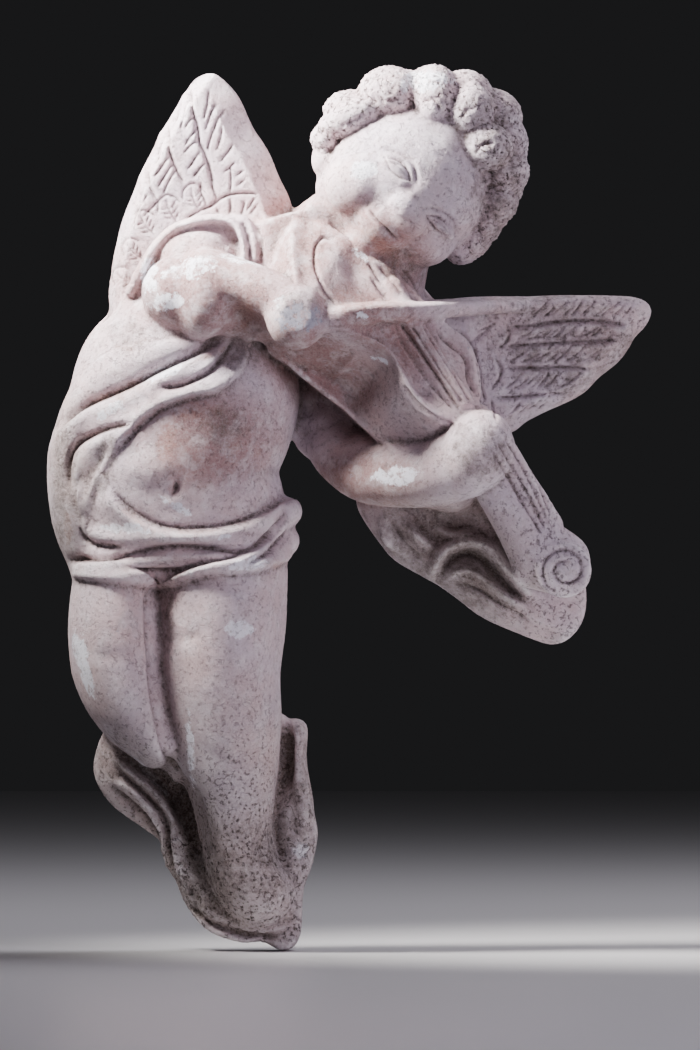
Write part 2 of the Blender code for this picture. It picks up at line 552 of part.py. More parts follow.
def violin_lines():
    lines = [
        groove(1.0, 0.55, (20, 4.0), (17, 5.0), (14.6, 2.4), (13.9, -2), (14.4, -6), (16, -10), (18, -13.6),
               (21, -17)),
        ridge(1.2, 1.8, (12, 11), (18, 7.4), (24, 3.6), (30, -0.4), (36, -5), (42, -10)),
        groove(1.6, 2.6, (23.6, -1.6), (27, -6.6), (28.4, -12.6)),
        groove(1.1, 0.6, (33, -7), (37.4, -12.4), (41, -16)),
        groove(5.2, 2.7, (37, -26.8), (42, -30.8), (46.2, -37), (50.8, -44.2), (56, -50.8)),
        groove(3.0, 1.5, (31, -26.8), (36, -28.2), (39.8, -31), (42, -34.6)),
        groove(1.3, 0.6, (55, -26), (57, -29), (60, -31.6), (63, -34), (64.6, -37), (65, -42),
               (67.2, -46.6)),
        ridge(0.8, 1.2, (60, -27.6), (64, -31), (66.4, -36), (67, -41), (68.6, -46)),
        groove(1.0, 0.6, (62, -25.6), (65.4, -29), (67.6, -33), (68.6, -38), (69.6, -44), (71, -49)),
        groove(1.7, 0.66, (43.6, -45), (47.6, -50.4), (53.6, -54.8), (60, -57.4)),
        ridge(0.9, 1.3, (29, -33), (25, -37), (20, -41.4)),
        ridge(0.7, 1.2, (28, -33), (34, -35.2), (39.4, -37.6)),
        groove(2.8, 3.6, (34.6, -39.4), (30, -45.4), (25.4, -50.4)),
        ridge(0.7, 0.9, (2, -34.6), (12, -42.2), (22, -50), (32, -59), (42, -67)),
    ]
    strings = (((41, -24.6), (46.6, -33), (52, -41.2), (57, -48), (60, -52)),
               ((42.8, -24.4), (47.6, -31), (52.8, -39), (57.6, -46), (61.6, -52.2)),
               ((46.2, -24.6), (50.4, -31), (54.8, -38), (58.6, -43.6), (63, -50)),
               ((50.2, -24), (54, -31), (58, -37), (61.4, -42.2), (65.6, -49.6)))
    for string in strings:
        lines.append(groove(1.0, 0.48, *string))
    lines.append(ridge(0.7, 1.0, (44, -22), (51, -33), (58, -43), (62, -49.6)))
    turns = np.linspace(0.4 * math.pi, 3.4 * math.pi, 22)
    lines.append(groove(1.1, 0.55, *[(97.3 + (1.6 + 0.62 * t) * math.cos(t),
                                      -105.8 + (1.6 + 0.62 * t) * math.sin(t)) for t in turns]))
    lines.append(ridge(0.8, 1.3, (22, -19.6), (36, -18.8), (50, -18.4), (64, -17.6), (76, -17)))
    return lines


def eye_lines(across, up, scale):
    """Closed almond eye: cuts round the lids and the crease above."""
    turn = math.radians(FACE_TILT)

    def cut(depth, width, *points):
        return groove(depth, width, *[(across + scale * (x * math.cos(turn) - y * math.sin(turn)),
                                       up + scale * (x * math.sin(turn) + y * math.cos(turn))) for x,
                                       y in points])
    return [
        cut(0.8, 0.42, (-6.0, 0.0), (-2.6, 2.1), (0.4, 2.5), (3.2, 1.6), (5.9, 0.0)),
        cut(0.8, 0.42, (-6.0, 0.0), (-2.6, -1.8), (0.4, -2.1), (3.2, -1.6), (5.9, 0.0)),
        cut(0.8, 0.75, (-8.2, 2.2), (-2.6, 4.6), (1.6, 5.0), (4.6, 3.8), (7.6, 0.6)),
        cut(1.1, 1.7, (7.2, 1.4), (6.8, -2.2), (3.4, -4.2)),
    ]


def face_lines():
    lines = [
        groove(1.2, 0.5, (32.4, 13.6), (34.4, 11), (37, 8.4), (39.4, 5.8), (41.4, 3.6)),
        groove(1.6, 2.2, (30.6, 16.6), (32.8, 15.6)),
        groove(0.8, 0.9, (36, 15), (33.2, 13.4)),
        groove(0.8, 1.2, (36.4, 8.0), (39.4, 5.0)),
        ridge(0.6, 1.3, (33.4, 10.6), (35.6, 8.0), (38.2, 5.2)),
        groove(1.2, 2.4, (50.6, 15.6), (51.6, 12.4)),
    ]
    lines += eye_lines(41.6, 27.6, 1.0)
    lines += eye_lines(56.0, 8.3, 0.9)
    lines.append(groove(2.0, 0.9, (-31.6, -76), (-32.2, -78.6), (-33.2, -80.6)))
    lines.append(groove(1.0, 2.2, (-31.6, -77), (-33.4, -81)))
    lines.append(ridge(0.6, 1.4, (-30, -81.6), (-34, -83.4), (-37, -81)))
    return lines


def rubbed_flat(spots):
    """The knuckles of the bowing hand, rubbed down to a flat patch."""
    near = (np.abs(spots[:, 0] - 8.5) < 10.5) & (np.abs(spots[:, 1] + 22) < 9)
    spots[near, 2] = np.minimum(spots[near, 2], 69.8)
    return spots


# Assembly

def cut_flat(form, out):
    """Cut away what lies nearer to the wall than out, and close the cut with a flat face."""
    everything = form.verts[:] + form.edges[:] + form.faces[:]
    bmesh.ops.bisect_plane(form, geom=everything, plane_co=place(0, 0, out), plane_no=(0, 1, 0),
                           clear_outer=True, dist=1e-7)
    rim = [edge for edge in form.edges if edge.is_boundary]
    bmesh.ops.triangle_fill(form, edges=rim, use_beauty=True, normal=(0, 1, 0))
    bmesh.ops.recalc_face_normals(form, faces=form.faces)


def carved(mesh, *groups):
    """Carve the groups of lines into a mesh one after the other, with fresh facings for each."""
    for lines in groups:
        count = len(mesh.vertices)
        raw = np.empty(count * 3)
        mesh.vertices.foreach_get("co", raw)
        raw = raw.reshape(-1, 3) / MM
        spots = np.column_stack((raw[:, 0] + HANG_ACROSS, raw[:, 2], -raw[:, 1]))
        normals = np.empty(count * 3)
        mesh.vertex_normals.foreach_get("vector", normals)
        normals = normals.reshape(-1, 3)
        facing = np.column_stack((normals[:, 0], normals[:, 2], -normals[:, 1]))
        spots = rubbed_flat(carve(spots, facing, lines))
        raw = np.column_stack((spots[:, 0] - HANG_ACROSS, -spots[:, 2], spots[:, 1])) * MM
        mesh.vertices.foreach_set("co", raw.ravel())
        mesh.update()


def plaster():
    material = bpy.data.materials.new("pink-white plaster")
    material.use_nodes = True
    shader = material.node_tree.nodes["Principled BSDF"]
    shader.inputs["Base Color"].default_value = (0.57, 0.50, 0.48, 1.0)
    shader.inputs["Roughness"].default_value = 0.9
    shader.inputs["Metallic"].default_value = 0.0
    return material


def figure():
    body = bmesh.new()
    for part in (torso, legs, arms, head, wings, cloth):
        part(body)
    soft = fused("body", body, GRAIN, BODY_SMOOTHING)

    crisp = bmesh.new()
    crisp.from_mesh(soft)
    for part in (violin, fingerboard, bow, features, curls, sleeve_edge):
        part(crisp)
    mesh = fused("carved figure", crisp, GRAIN, CARVED_SMOOTHING)
    carved(mesh, edge_lines(),
           sash_lines() + hip_lines() + leg_lines() + low_cloth_lines() + under_cloth_lines(),
           shoulder_lines() + feather_lines() + violin_lines() + face_lines())

    form = bmesh.new()
    form.from_mesh(mesh)
    cut_flat(form, -1.5)
    form.to_mesh(mesh)
    form.free()

    lump = bpy.data.objects.new("lump", mesh)
    bpy.context.scene.collection.objects.link(lump)
    thin = lump.modifiers.new("Thin", "DECIMATE")
    thin.ratio = TRIANGLES / sum(len(face.vertices) - 2 for face in mesh.polygons)
    thin.use_collapse_triangulate = True
    mesh = applied(lump)

    form = bmesh.new()
    form.from_mesh(mesh)
    cut_flat(form, 0.0)
    bmesh.ops.triangulate(form, faces=form.faces)
    form.to_mesh(mesh)
    form.free()
    mesh.name = "violin_angel"
    angel = bpy.data.objects.new("violin_angel", mesh)
    bpy.context.scene.collection.objects.link(angel)
    mesh.materials.append(plaster())


for old in list(bpy.data.objects):
    bpy.data.objects.remove(old, do_unlink=True)

figure()
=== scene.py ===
"""Angel musician: a winged child playing the violin, a plaster wall figure cast in one piece.

Forms are placed by three measures in millimetres: across (to the viewer's right of the chest
line), up (from the hanging point) and out (from the wall).
"""
import math

import bmesh
import bpy
import numpy as np
from mathutils import Matrix, Vector, noise


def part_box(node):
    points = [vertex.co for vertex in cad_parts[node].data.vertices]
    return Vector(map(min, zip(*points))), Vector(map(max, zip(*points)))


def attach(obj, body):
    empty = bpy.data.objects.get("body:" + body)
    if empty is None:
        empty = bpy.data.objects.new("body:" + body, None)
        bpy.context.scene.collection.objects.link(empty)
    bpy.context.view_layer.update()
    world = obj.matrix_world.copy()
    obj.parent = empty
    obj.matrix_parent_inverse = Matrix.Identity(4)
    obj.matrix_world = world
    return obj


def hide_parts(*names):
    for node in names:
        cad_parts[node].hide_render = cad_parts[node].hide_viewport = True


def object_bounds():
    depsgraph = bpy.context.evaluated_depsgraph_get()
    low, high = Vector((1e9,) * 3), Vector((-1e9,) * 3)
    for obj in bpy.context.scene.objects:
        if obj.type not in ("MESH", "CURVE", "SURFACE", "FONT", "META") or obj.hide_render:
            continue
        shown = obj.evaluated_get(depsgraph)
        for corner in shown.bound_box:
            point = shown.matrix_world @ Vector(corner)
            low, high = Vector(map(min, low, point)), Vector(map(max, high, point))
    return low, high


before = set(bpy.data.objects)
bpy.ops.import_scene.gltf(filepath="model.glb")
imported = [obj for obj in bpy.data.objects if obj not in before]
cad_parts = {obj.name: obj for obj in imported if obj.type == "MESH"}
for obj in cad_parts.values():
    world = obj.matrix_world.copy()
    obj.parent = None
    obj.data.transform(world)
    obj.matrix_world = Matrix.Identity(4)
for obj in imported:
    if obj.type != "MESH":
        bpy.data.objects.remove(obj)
cad_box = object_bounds()

HEIGHT = 0.296              # metres, wing tip to the rim under the foot
MODEL_HEIGHT = 296.0        # the same in the millimetres that the forms below are written in
MM = HEIGHT / MODEL_HEIGHT

HANG_ACROSS = 5.0           # mm, the hanging point lies this far from the chest line
GRAIN = 0.7                 # mm, size of the clay grain that the forms are fused with
BODY_SMOOTHING = 22         # passes that soften the joins between limbs
CARVED_SMOOTHING = 5        # passes that take the grain off the crisp forms
TRIANGLES = 190000          # budget of the finished piece
BURIED = -7.0               # mm, how far the forms run behind the wall before the back is cut flat
FIRST_CUT = -1.5            # mm, where the back is cut before the mesh is thinned, so the rim stays sharp
LIMB_STEPS = 5              # rows for each span of a limb
OUTLINE_STEPS = 4           # points for each span of an outline
CARVED_STEPS = 4            # points for each span of a carved line

HAIR_CENTRE = (52.0, 30.0, 22.0)
HAIR_RADIUS = 29.0

PLATE_CORNER = (29.0, -27.0)     # point on the near edge of the violin's top plate
PLATE_OUT = 62.0                 # how far that edge stands out from the wall
PLATE_FALL = 0.62                # mm the plate drops toward the wall for each mm across it
PLATE_DIP = 0.014                # how fast the plate's tail end curves back to the chest
PLATE_ACROSS = (0.794, 0.607)    # direction across the plate in the front view
RIB_SHIFT = (-16.0, -12.0, -24.0)  # from the top plate's edge to the back plate's edge


# Building blocks

def ink(code):
    """Linear colour, with alpha, of an sRGB hex code."""
    parts = [int(code[k:k + 2], 16) / 255 for k in (0, 2, 4)]
    return tuple(p / 12.92 if p <= 0.04045 else ((p + 0.055) / 1.055) ** 2.4 for p in parts) + (1.0,)


def place(across, up, out):
    """Blender position of a point given in millimetres."""
    return Vector(((across - HANG_ACROSS) * MM, -out * MM, up * MM))


def turned(x, y, angle):
    """A point, or arrays of them, turned about the origin by an angle in radians."""
    return x * math.cos(angle) - y * math.sin(angle), x * math.sin(angle) + y * math.cos(angle)


def curve_through(rows, steps, closed=False):
    """Catmull-Rom rows through the given rows, with steps new rows for each span."""
    rows = list(np.asarray(rows, dtype=float))
    if closed:
        path = [rows[-1], *rows, rows[0], rows[1]]
    else:
        path = [2 * rows[0] - rows[1], *rows, 2 * rows[-1] - rows[-2]]
    result = []
    for before, start, end, after in zip(path, path[1:], path[2:], path[3:]):
        for step in range(steps):
            t = step / steps
            result.append(0.5 * (2 * start + (end - before) * t
                                 + (2 * before - 5 * start + 4 * end - after) * t ** 2
                                 + (3 * start - before - 3 * end + after) * t ** 3))
    if not closed:
        result.append(rows[-1])
    return np.array(result)


def ball(form, centre, half, roll=0.0):
    """Ellipsoid with half sizes across, up and out, rolled in the front view by degrees."""
    turn = Matrix.Rotation(math.radians(-roll), 4, "Y")
    scale = Matrix.Diagonal((half[0] * MM, half[2] * MM, half[1] * MM, 1.0))
    matrix = Matrix.Translation(place(*centre)) @ turn @ scale
    bmesh.ops.create_icosphere(form, subdivisions=3, radius=1.0, matrix=matrix)


def skin(form, rings):
    """Close a row of rings of points into one tube with flat ends."""
    rows = [[form.verts.new(place(*point)) for point in ring] for ring in rings]
    for lower, upper in zip(rows, rows[1:]):
        for k in range(len(lower)):
            n = (k + 1) % len(lower)
            form.faces.new((lower[k], lower[n], upper[n], upper[k]))
    form.faces.new(list(reversed(rows[0])))
    form.faces.new(rows[-1])


def limb(form, stations, sides=18, blunt=False):
    """Round-ended limb through stations of (across, up, out, half width, half depth)."""
    path = curve_through(stations, LIMB_STEPS)
    runs = np.gradient(path[:, :2], axis=0)
    runs /= np.linalg.norm(runs, axis=1)[:, None]
    angles = np.linspace(0.0, 2 * math.pi, sides, endpoint=False)
    ends = [] if blunt else [math.radians(a) for a in (78, 52, 26)]
    rows = [(path[0], runs[0], -math.sin(a), math.cos(a)) for a in ends]
    rows += [(row, run, 0.0, 1.0) for row, run in zip(path, runs)]
    rows += [(path[-1], runs[-1], math.sin(a), math.cos(a)) for a in reversed(ends)]
    rings = []
    for row, run, ahead, share in rows:
        across, up, out, half_width, half_depth = row
        side = (run[1], -run[0])
        middle = (across + run[0] * half_width * ahead, up + run[1] * half_width * ahead)
        rings.append([(middle[0] + side[0] * half_width * share * math.cos(a),
                       middle[1] + side[1] * half_width * share * math.cos(a),
                       out + half_depth * share * math.sin(a)) for a in angles])
    skin(form, rings)


def slab(form, outline, front):
    """Flat form with a rounded outline; front gives how far out it stands at a point."""
    edge = curve_through(outline, OUTLINE_STEPS, closed=True)
    skin(form, [[(a, u, BURIED) for a, u in edge], [(a, u, front(a, u)) for a, u in edge]])


def added(name, data):
    """New object in the scene that shows a mesh, light or camera."""
    thing = bpy.data.objects.new(name, data)
    bpy.context.scene.collection.objects.link(thing)
    return thing


def fused(name, forms, smoothing):
    """Fuse overlapping closed forms into one skin and soften it."""
    mesh = bpy.data.meshes.new(name)
    forms.normal_update()
    forms.to_mesh(mesh)
    forms.free()
    lump = added(name, mesh)
    remesh = lump.modifiers.new("Fuse", "REMESH")
    remesh.mode = "VOXEL"
    remesh.voxel_size = GRAIN * MM
    smooth = lump.modifiers.new("Soften", "SMOOTH")
    smooth.factor = 0.5
    smooth.iterations = smoothing
    return applied(lump)


def applied(thing):
    """Mesh of an object with its modifiers worked in; the object itself is removed."""
    graph = bpy.context.evaluated_depsgraph_get()
    mesh = bpy.data.meshes.new_from_object(thing.evaluated_get(graph))
    bpy.data.objects.remove(thing)
    return mesh


# Body

CHEST = [(-4, 8.6), (0, 11.6), (5, 13.2), (10, 14), (14, 17), (20, 14), (26, 6), (24, -10), (-4, -10)]


def torso(form):
    limb(form, [(-20, -2, 13, 20, 20), (-23, -20, 15, 28, 26), (-27, -38, 16, 37, 31),
                (-31, -54, 16, 38, 33), (-35, -71, 16, 36, 34.5), (-33, -86, 16, 37, 33),
                (-31, -102, 17, 36, 30), (-32, -109, 17, 34, 24)], sides=40, blunt=True)
    ball(form, (-38, -72, 20), (26, 19, 32))
    ball(form, (4, -3, 17), (17, 16, 23))
    slab(form, CHEST, lambda a, u: min(45.0, 40.0 + 0.4 * (a + 4)))
    limb(form, [(-52, -38, 18, 9, 16), (-60, -52, 18, 10, 18), (-65, -66, 17, 10, 20),
                (-66, -80, 16, 9.5, 20), (-64, -93, 15, 9, 20), (-60, -104, 14, 8, 18)])


def legs(form):
    limb(form, [(-52, -108, 18, 15, 28), (-52, -124, 20, 16.5, 28), (-51, -140, 20, 16, 28),
                (-46, -154, 20, 13, 27), (-39, -165, 20, 8.5, 24)], sides=36)
    limb(form, [(-18, -106, 18, 23, 31), (-18, -122, 19, 22.6, 31), (-18.4, -140, 19, 21, 30),
                (-17, -157, 18, 20, 29), (-15.8, -172, 17, 18, 27), (-14, -186, 15, 15, 24),
                (-12, -200, 14, 12, 21), (-9, -209, 14, 12.4, 20), (-4.8, -215, 14, 12.6, 19)], sides=36)
    limb(form, [(-40, -106, 10, 8, 22), (-39.5, -135, 10, 8, 23), (-36, -158, 9, 7, 22),
                (-31, -176, 9, 6, 16)])


ARM_RECESS = [
    (4, -38), (40, -40), (60, -60), (62, -80), (34, -82), (20, -77), (13.5, -70), (8, -65), (6, -58),
    (5, -48),
]


def arms(form):
    limb(form, [(-31, -13.5, 39, 13, 14.5), (-24, -14, 44, 15.6, 15), (-17, -14.6, 45, 14.6, 13.5),
                (-9, -17, 39, 12.8, 12), (0, -20, 44, 10.6, 11)], sides=32)
    limb(form, [(-22, -8.4, 46, 9, 12), (-14, -9.6, 49, 8.2, 11), (-6, -12, 53, 8.0, 10.2),
                (2, -15.6, 56.4, 8.2, 10), (6, -19.6, 59, 9.6, 10.4)], sides=32)
    ball(form, (8, -21.5, 60), (10.6, 11.4, 11.4))
    slab(form, ARM_RECESS, lambda a, u: 7.0 + 0.3 * max(0.0, -46 - u) + 0.25 * max(0.0, a - 10))
    limb(form, [(19, -58, 8, 9, 9), (22, -66, 17, 10, 12), (31, -72.5, 28, 11, 14), (42, -74, 38, 11.2, 14),
                (54, -73.5, 46, 11.5, 13), (64, -70, 52, 12.5, 12.5)])
    ball(form, (68, -66.5, 54), (12.5, 14.5, 12.5), roll=-25)
    ball(form, (32, -28, 12), (26, 24, 22))
    limb(form, [(34, -76, 8, 6, 20), (60, -78, 12, 9, 30)])


# Head

FACE_TILT = -41.0        # degrees, the line of the eyes in the front view


def head(form):
    ball(form, (50, 30, 24), (27, 27, 27))
    ball(form, (43.5, 22, 31), (29.5, 27, 28))
    for cheek in ((30, 22.5, 45.4), (49.5, 7, 40)):
        ball(form, cheek, (13, 12, 13))
    ball(form, (37.5, 10.5, 49.5), (11, 9, 10), roll=FACE_TILT)
    ball(form, (33, 5, 44), (9, 8, 9))
    limb(form, [(41, 2, 26, 12.4, 24), (39.5, -10, 22, 11.4, 24), (38, -20, 18, 12.6, 22),
                (36, -30, 15, 14, 20)])
    limb(form, [(26, 14, 20, 12, 22), (14, 8, 16, 10, 22)])


def features(form):
    limb(form, [(50, 20.2, 53.4, 4.0, 2.8), (47, 17.6, 54.8, 4.8, 3.4), (44, 15.6, 56.4, 5.0, 3.8)])
    ball(form, (43.6, 14.8, 57.2), (5.6, 5.0, 4.6), roll=FACE_TILT)
    ball(form, (44.0, 12.2, 55.4), (8.8, 7.0, 4.8), roll=-50)
    ball(form, (39.4, 10.8, 56.0), (6.6, 4.2, 3.4), roll=FACE_TILT)
    ball(form, (41.6, 27.6, 55.6), (6.6, 2.7, 3.4), roll=FACE_TILT)
    ball(form, (56.0, 8.3, 50.8), (5.9, 2.5, 3.4), roll=FACE_TILT)


FRONT_CURLS = [  # across, up, out, long half, short half, depth half, roll
    (26.4, 45.0, 38, 12.2, 6.4, 9.4, 24), (25, 48.4, 33, 8.4, 6, 9, 10),
    (39.0, 53.0, 36, 10.6, 9.4, 10.6, 0), (54.4, 52.0, 37.6, 8.8, 11.0, 10.8, 0),
    (53.8, 48.2, 44.4, 4.8, 4.6, 4.8, 0), (48, 53, 33, 10, 8, 10, 0),
    (65.8, 47.0, 39.4, 8.6, 9.8, 9.6, -10), (64.6, 53.4, 34, 8.8, 7.8, 9.4, -20),
    (74.6, 46.6, 31, 9.4, 7.8, 9.6, -35), (71.4, 35.4, 40.4, 9.0, 8.2, 9.0, -20),
    (77.6, 37, 31, 7.8, 9.6, 9.6, 10), (77.6, 27, 33, 8.4, 8.2, 9.0, 0), (75.4, 17.6, 32, 6.6, 8.0, 9, 0),
    (71.6, 10, 30, 5.4, 7.2, 9, -20), (67.8, 4, 29, 5.0, 5.8, 8.6, -30), (63.4, 0.4, 28, 5.6, 4.2, 8.4, 10),
    (17.8, 38, 35, 5.0, 5.2, 9, 20), (17.2, 31, 33, 4.4, 6, 9.4, 0),
]
SIDE_CURL_ROWS = [(24.0, 8.0, 11), (9.0, 7.0, 10)]  # out, radius, how many
SIDE_CURL_ARC = (-38.0, 172.0)                      # degrees round the hair, from the right ear


def curls(form):
    ball(form, HAIR_CENTRE, (HAIR_RADIUS, HAIR_RADIUS - 1, HAIR_RADIUS - 3))
    for across, up, out, long_half, short_half, depth_half, roll in FRONT_CURLS:
        ball(form, (across, up, out), (long_half, short_half, depth_half), roll=roll)
    start, end = SIDE_CURL_ARC
    for out, radius, count in SIDE_CURL_ROWS:
        share = math.cos(math.asin((out - HAIR_CENTRE[2]) / HAIR_RADIUS))
        for k in range(count):
            angle = math.radians(start + (end - start) * k / (count - 1))
            reach = (HAIR_RADIUS + 1) * share - 0.6 * radius
            ball(form, (HAIR_CENTRE[0] + reach * math.cos(angle), HAIR_CENTRE[1] + reach * math.sin(angle),
                        out), (radius, radius, radius))


# Wings

LEFT_WING = [
    (-21, 61), (-17, 59), (-11, 52), (-7, 43), (-2, 35), (2, 26), (6, 16), (4, 4), (-30, -20), (-54, -30),
    (-54, -24), (-55, -12), (-52, 6), (-46, 23), (-39, 38), (-31, 52), (-26, 59),
]
LEFT_WING_EDGE = [(-20, 62), (-17, 59), (-11, 52), (-7, 43), (-2, 35), (2, 26), (6, 16), (6, 4)]
RIGHT_WING = [
    (50, -18), (57, -16), (75, -15), (96, -14), (115, -14), (124, -15.4), (127, -19), (125, -24),
    (121, -28.2), (119.8, -31), (116, -36), (111, -40), (108.6, -42), (105, -46), (99, -49.6), (92, -52.6),
    (85, -56), (79, -60), (66, -58), (50, -45),
]


def wings(form):
    slab(form, LEFT_WING, lambda a, u: 19.0 - 0.06 * (u + 20))
    slab(form, RIGHT_WING, lambda a, u: 25.0 - 0.19 * (a - 60))
    limb(form, [(50, -19, 20, 3.2, 7), (66, -17.6, 20, 3.0, 7), (84, -17, 17.5, 2.8, 6.4),
                (104, -16.6, 14.5, 2.6, 5.6), (121, -17.6, 11.5, 2.4, 4.6)])


# Cloth

UNDER_CLOTH = [
    (28, -83), (31, -90), (39, -101), (46, -106), (55, -111), (62, -116), (70, -122), (79, -126),
    (92, -131), (98, -130), (103, -125), (105, -118), (104, -108), (97, -96), (86, -84), (70, -76),
    (50, -74), (30, -74),
]
LOW_CLOTH = [
    (-56, -160), (-60, -170), (-59, -178), (-53, -186), (-42, -194), (-36, -199), (-33, -209), (-29, -219),
    (-22, -227), (-11, -231), (-3, -231), (4, -234), (9, -229), (10, -214), (13, -205), (15, -195),
    (13, -185), (11, -172), (8, -162), (2, -154), (-10, -160), (-28, -163), (-45, -160),
]
SHOULDER_GROUND = [
    (-46, -14), (-43, -6), (-39, 2), (-33, 7.5), (-25, 10.5), (-14, 11.5), (-7, 10), (-3, 5), (-2, -12),
    (-20, -20), (-40, -20),
]
SHOULDER_EDGES = [
    [(-47.5, -13, 25, 2.0, 7), (-44, -6, 27, 1.9, 7), (-39.5, 1.5, 28.5, 1.9, 7),
     (-33.5, 7.6, 29.5, 1.9, 7), (-26, 10.4, 30.5, 1.8, 7), (-18, 11.2, 31.5, 1.8, 7),
     (-12.5, 9.4, 33, 1.7, 7), (-10.2, 4.6, 35, 1.6, 6.5), (-9.4, -2, 37, 1.6, 6)],
    [(-14, 11.4, 29, 1.6, 7), (-9, 10.4, 31, 1.7, 7), (-6.6, 6, 33, 1.7, 7), (-5.8, -2, 36, 1.5, 6)],
]


def cloth(form):
    slab(form, UNDER_CLOTH, lambda a, u: 13.0)
    slab(form, LOW_CLOTH, lambda a, u: 12.0 + max(0.0, -200 - u) * 0.28)
    limb(form, [(7.6, -160, 6, 4.2, 9), (8, -172, 6, 3.6, 9.5), (9.6, -184, 6, 4, 9.5),
                (10, -197, 6, 4.6, 10)])
    slab(form, SHOULDER_GROUND, lambda a, u: 30.0 + 0.11 * (a + 46))
    ball(form, (-24, -1, 27), (15.5, 10.4, 15))
    limb(form, [(-8, -94, 24, 6, 16), (0, -90, 21, 5.6, 14), (5, -86.6, 18, 5, 12)])
    limb(form, [(-8, -104, 24, 5, 16), (0, -99.6, 21, 5.2, 14), (4, -96, 17, 5, 12)])


def sleeve_edge(form):
    for edge in SHOULDER_EDGES:
        limb(form, edge)


# Violin

def plate_out(across, up):
    """How far out the tilted top plate of the violin stands at a point of the front view."""
    offset = (across - PLATE_CORNER[0], up - PLATE_CORNER[1])
    beyond = offset[0] * PLATE_ACROSS[0] + offset[1] * PLATE_ACROSS[1]
    along = offset[0] * PLATE_ACROSS[1] - offset[1] * PLATE_ACROSS[0]
    return PLATE_OUT - PLATE_FALL * beyond - PLATE_DIP * max(0.0, -12.0 - along) ** 2


PLATE = [
    (6.5, 9), (10, 13), (18, 9.4), (24, 5.6), (30, 2), (36, -3), (43, -8), (49, -14), (54, -20), (60, -25),
    (65, -29), (68.5, -36), (70, -46), (67, -54), (59, -57), (52, -53), (45, -45), (42.5, -39), (39, -33),
    (32, -28.6), (24, -26), (15, -21), (9, -13), (6.5, 0),
]


BACK_BOARD = [
    (-2, -31), (6, -38), (11, -42.6), (20, -49.6), (32, -60), (43, -69), (47, -69.8), (52, -67), (57, -60),
    (50, -40), (30, -20), (10, -16),
]


def violin(form):
    edge = curve_through(PLATE, 3, closed=True)
    top = [(a, u, plate_out(a, u)) for a, u in edge]
    skin(form, [[tuple(v + s for v, s in zip(point, RIB_SHIFT)) for point in top], top])
    slab(form, BACK_BOARD, lambda a, u: plate_out(a - RIB_SHIFT[0], u - RIB_SHIFT[1]) + RIB_SHIFT[2])
    limb(form, [(66, -58, 47, 8.5, 8), (75.5, -78, 45, 8.3, 8), (84, -92.6, 43.4, 9, 8.6),
                (91, -101, 42, 11.6, 9)], sides=28)
    ball(form, (94, -103, 42), (12, 11, 9.5))
    limb(form, [(68, -70, 16, 6, 26), (80, -90, 16, 6, 26), (92, -102, 16, 9, 24)])


def fingerboard(form):
    board = [(40, -13), (46, -24), (55, -39), (63, -50.5)]
    limb(form, [(a, u, plate_out(a, u) - 0.6, 4.3, 2.6) for a, u in board])
    limb(form, [(73, -60, 52, 4.5, 3.4), (83, -76, 49, 4.5, 3.4), (93, -91, 46, 4, 3)])
    scroll = [(97, -106, 47), (97, -106, 51)]
    rings = [[(a + 9.3 * math.cos(t), u + 9.3 * math.sin(t), out)
              for t in np.linspace(0, 2 * math.pi, 28, endpoint=False)] for a, u, out in scroll]
    skin(form, rings)


def bow(form):
    limb(form, [(15, -23.6, 62.5, 4.2, 4.6), (26, -21.4, 60.5, 4.0, 4.8), (37, -20.4, 57.5, 3.8, 4.8),
                (50, -19.8, 51, 3.2, 5), (62, -18.9, 41, 2.7, 5.4), (72, -18.2, 31, 2.4, 6),
                (84, -17.6, 22, 2.2, 5)])


# Carving, drawn on the fused figure as lines in the front view

def distances(points, line):
    """Distance of each point to a line of (across, up), the side it lies on, and its way to an end."""
    line = np.asarray(line, dtype=float)
    lengths = np.hypot(*np.diff(line, axis=0).T)
    best = np.full(len(points), 1e9)
    side = np.zeros(len(points))
    travel = np.zeros(len(points))
    before = 0.0
    for start, end, length in zip(line, line[1:], lengths):
        run = end - start
        share = np.clip(((points - start) @ run) / (run @ run), 0.0, 1.0)
        gap = points - (start + share[:, None] * run)
        away = np.hypot(gap[:, 0], gap[:, 1])
        nearer = away < best
        best = np.where(nearer, away, best)
        side = np.where(nearer, np.sign(run[0] * gap[:, 1] - run[1] * gap[:, 0]), side)
        travel = np.where(nearer, before + share * length, travel)
        before += length
    return best, side, np.minimum(travel, before - travel)


THIN = 26.0              # mm from the wall, what stands nearer is wing or cloth and has bevelled rims


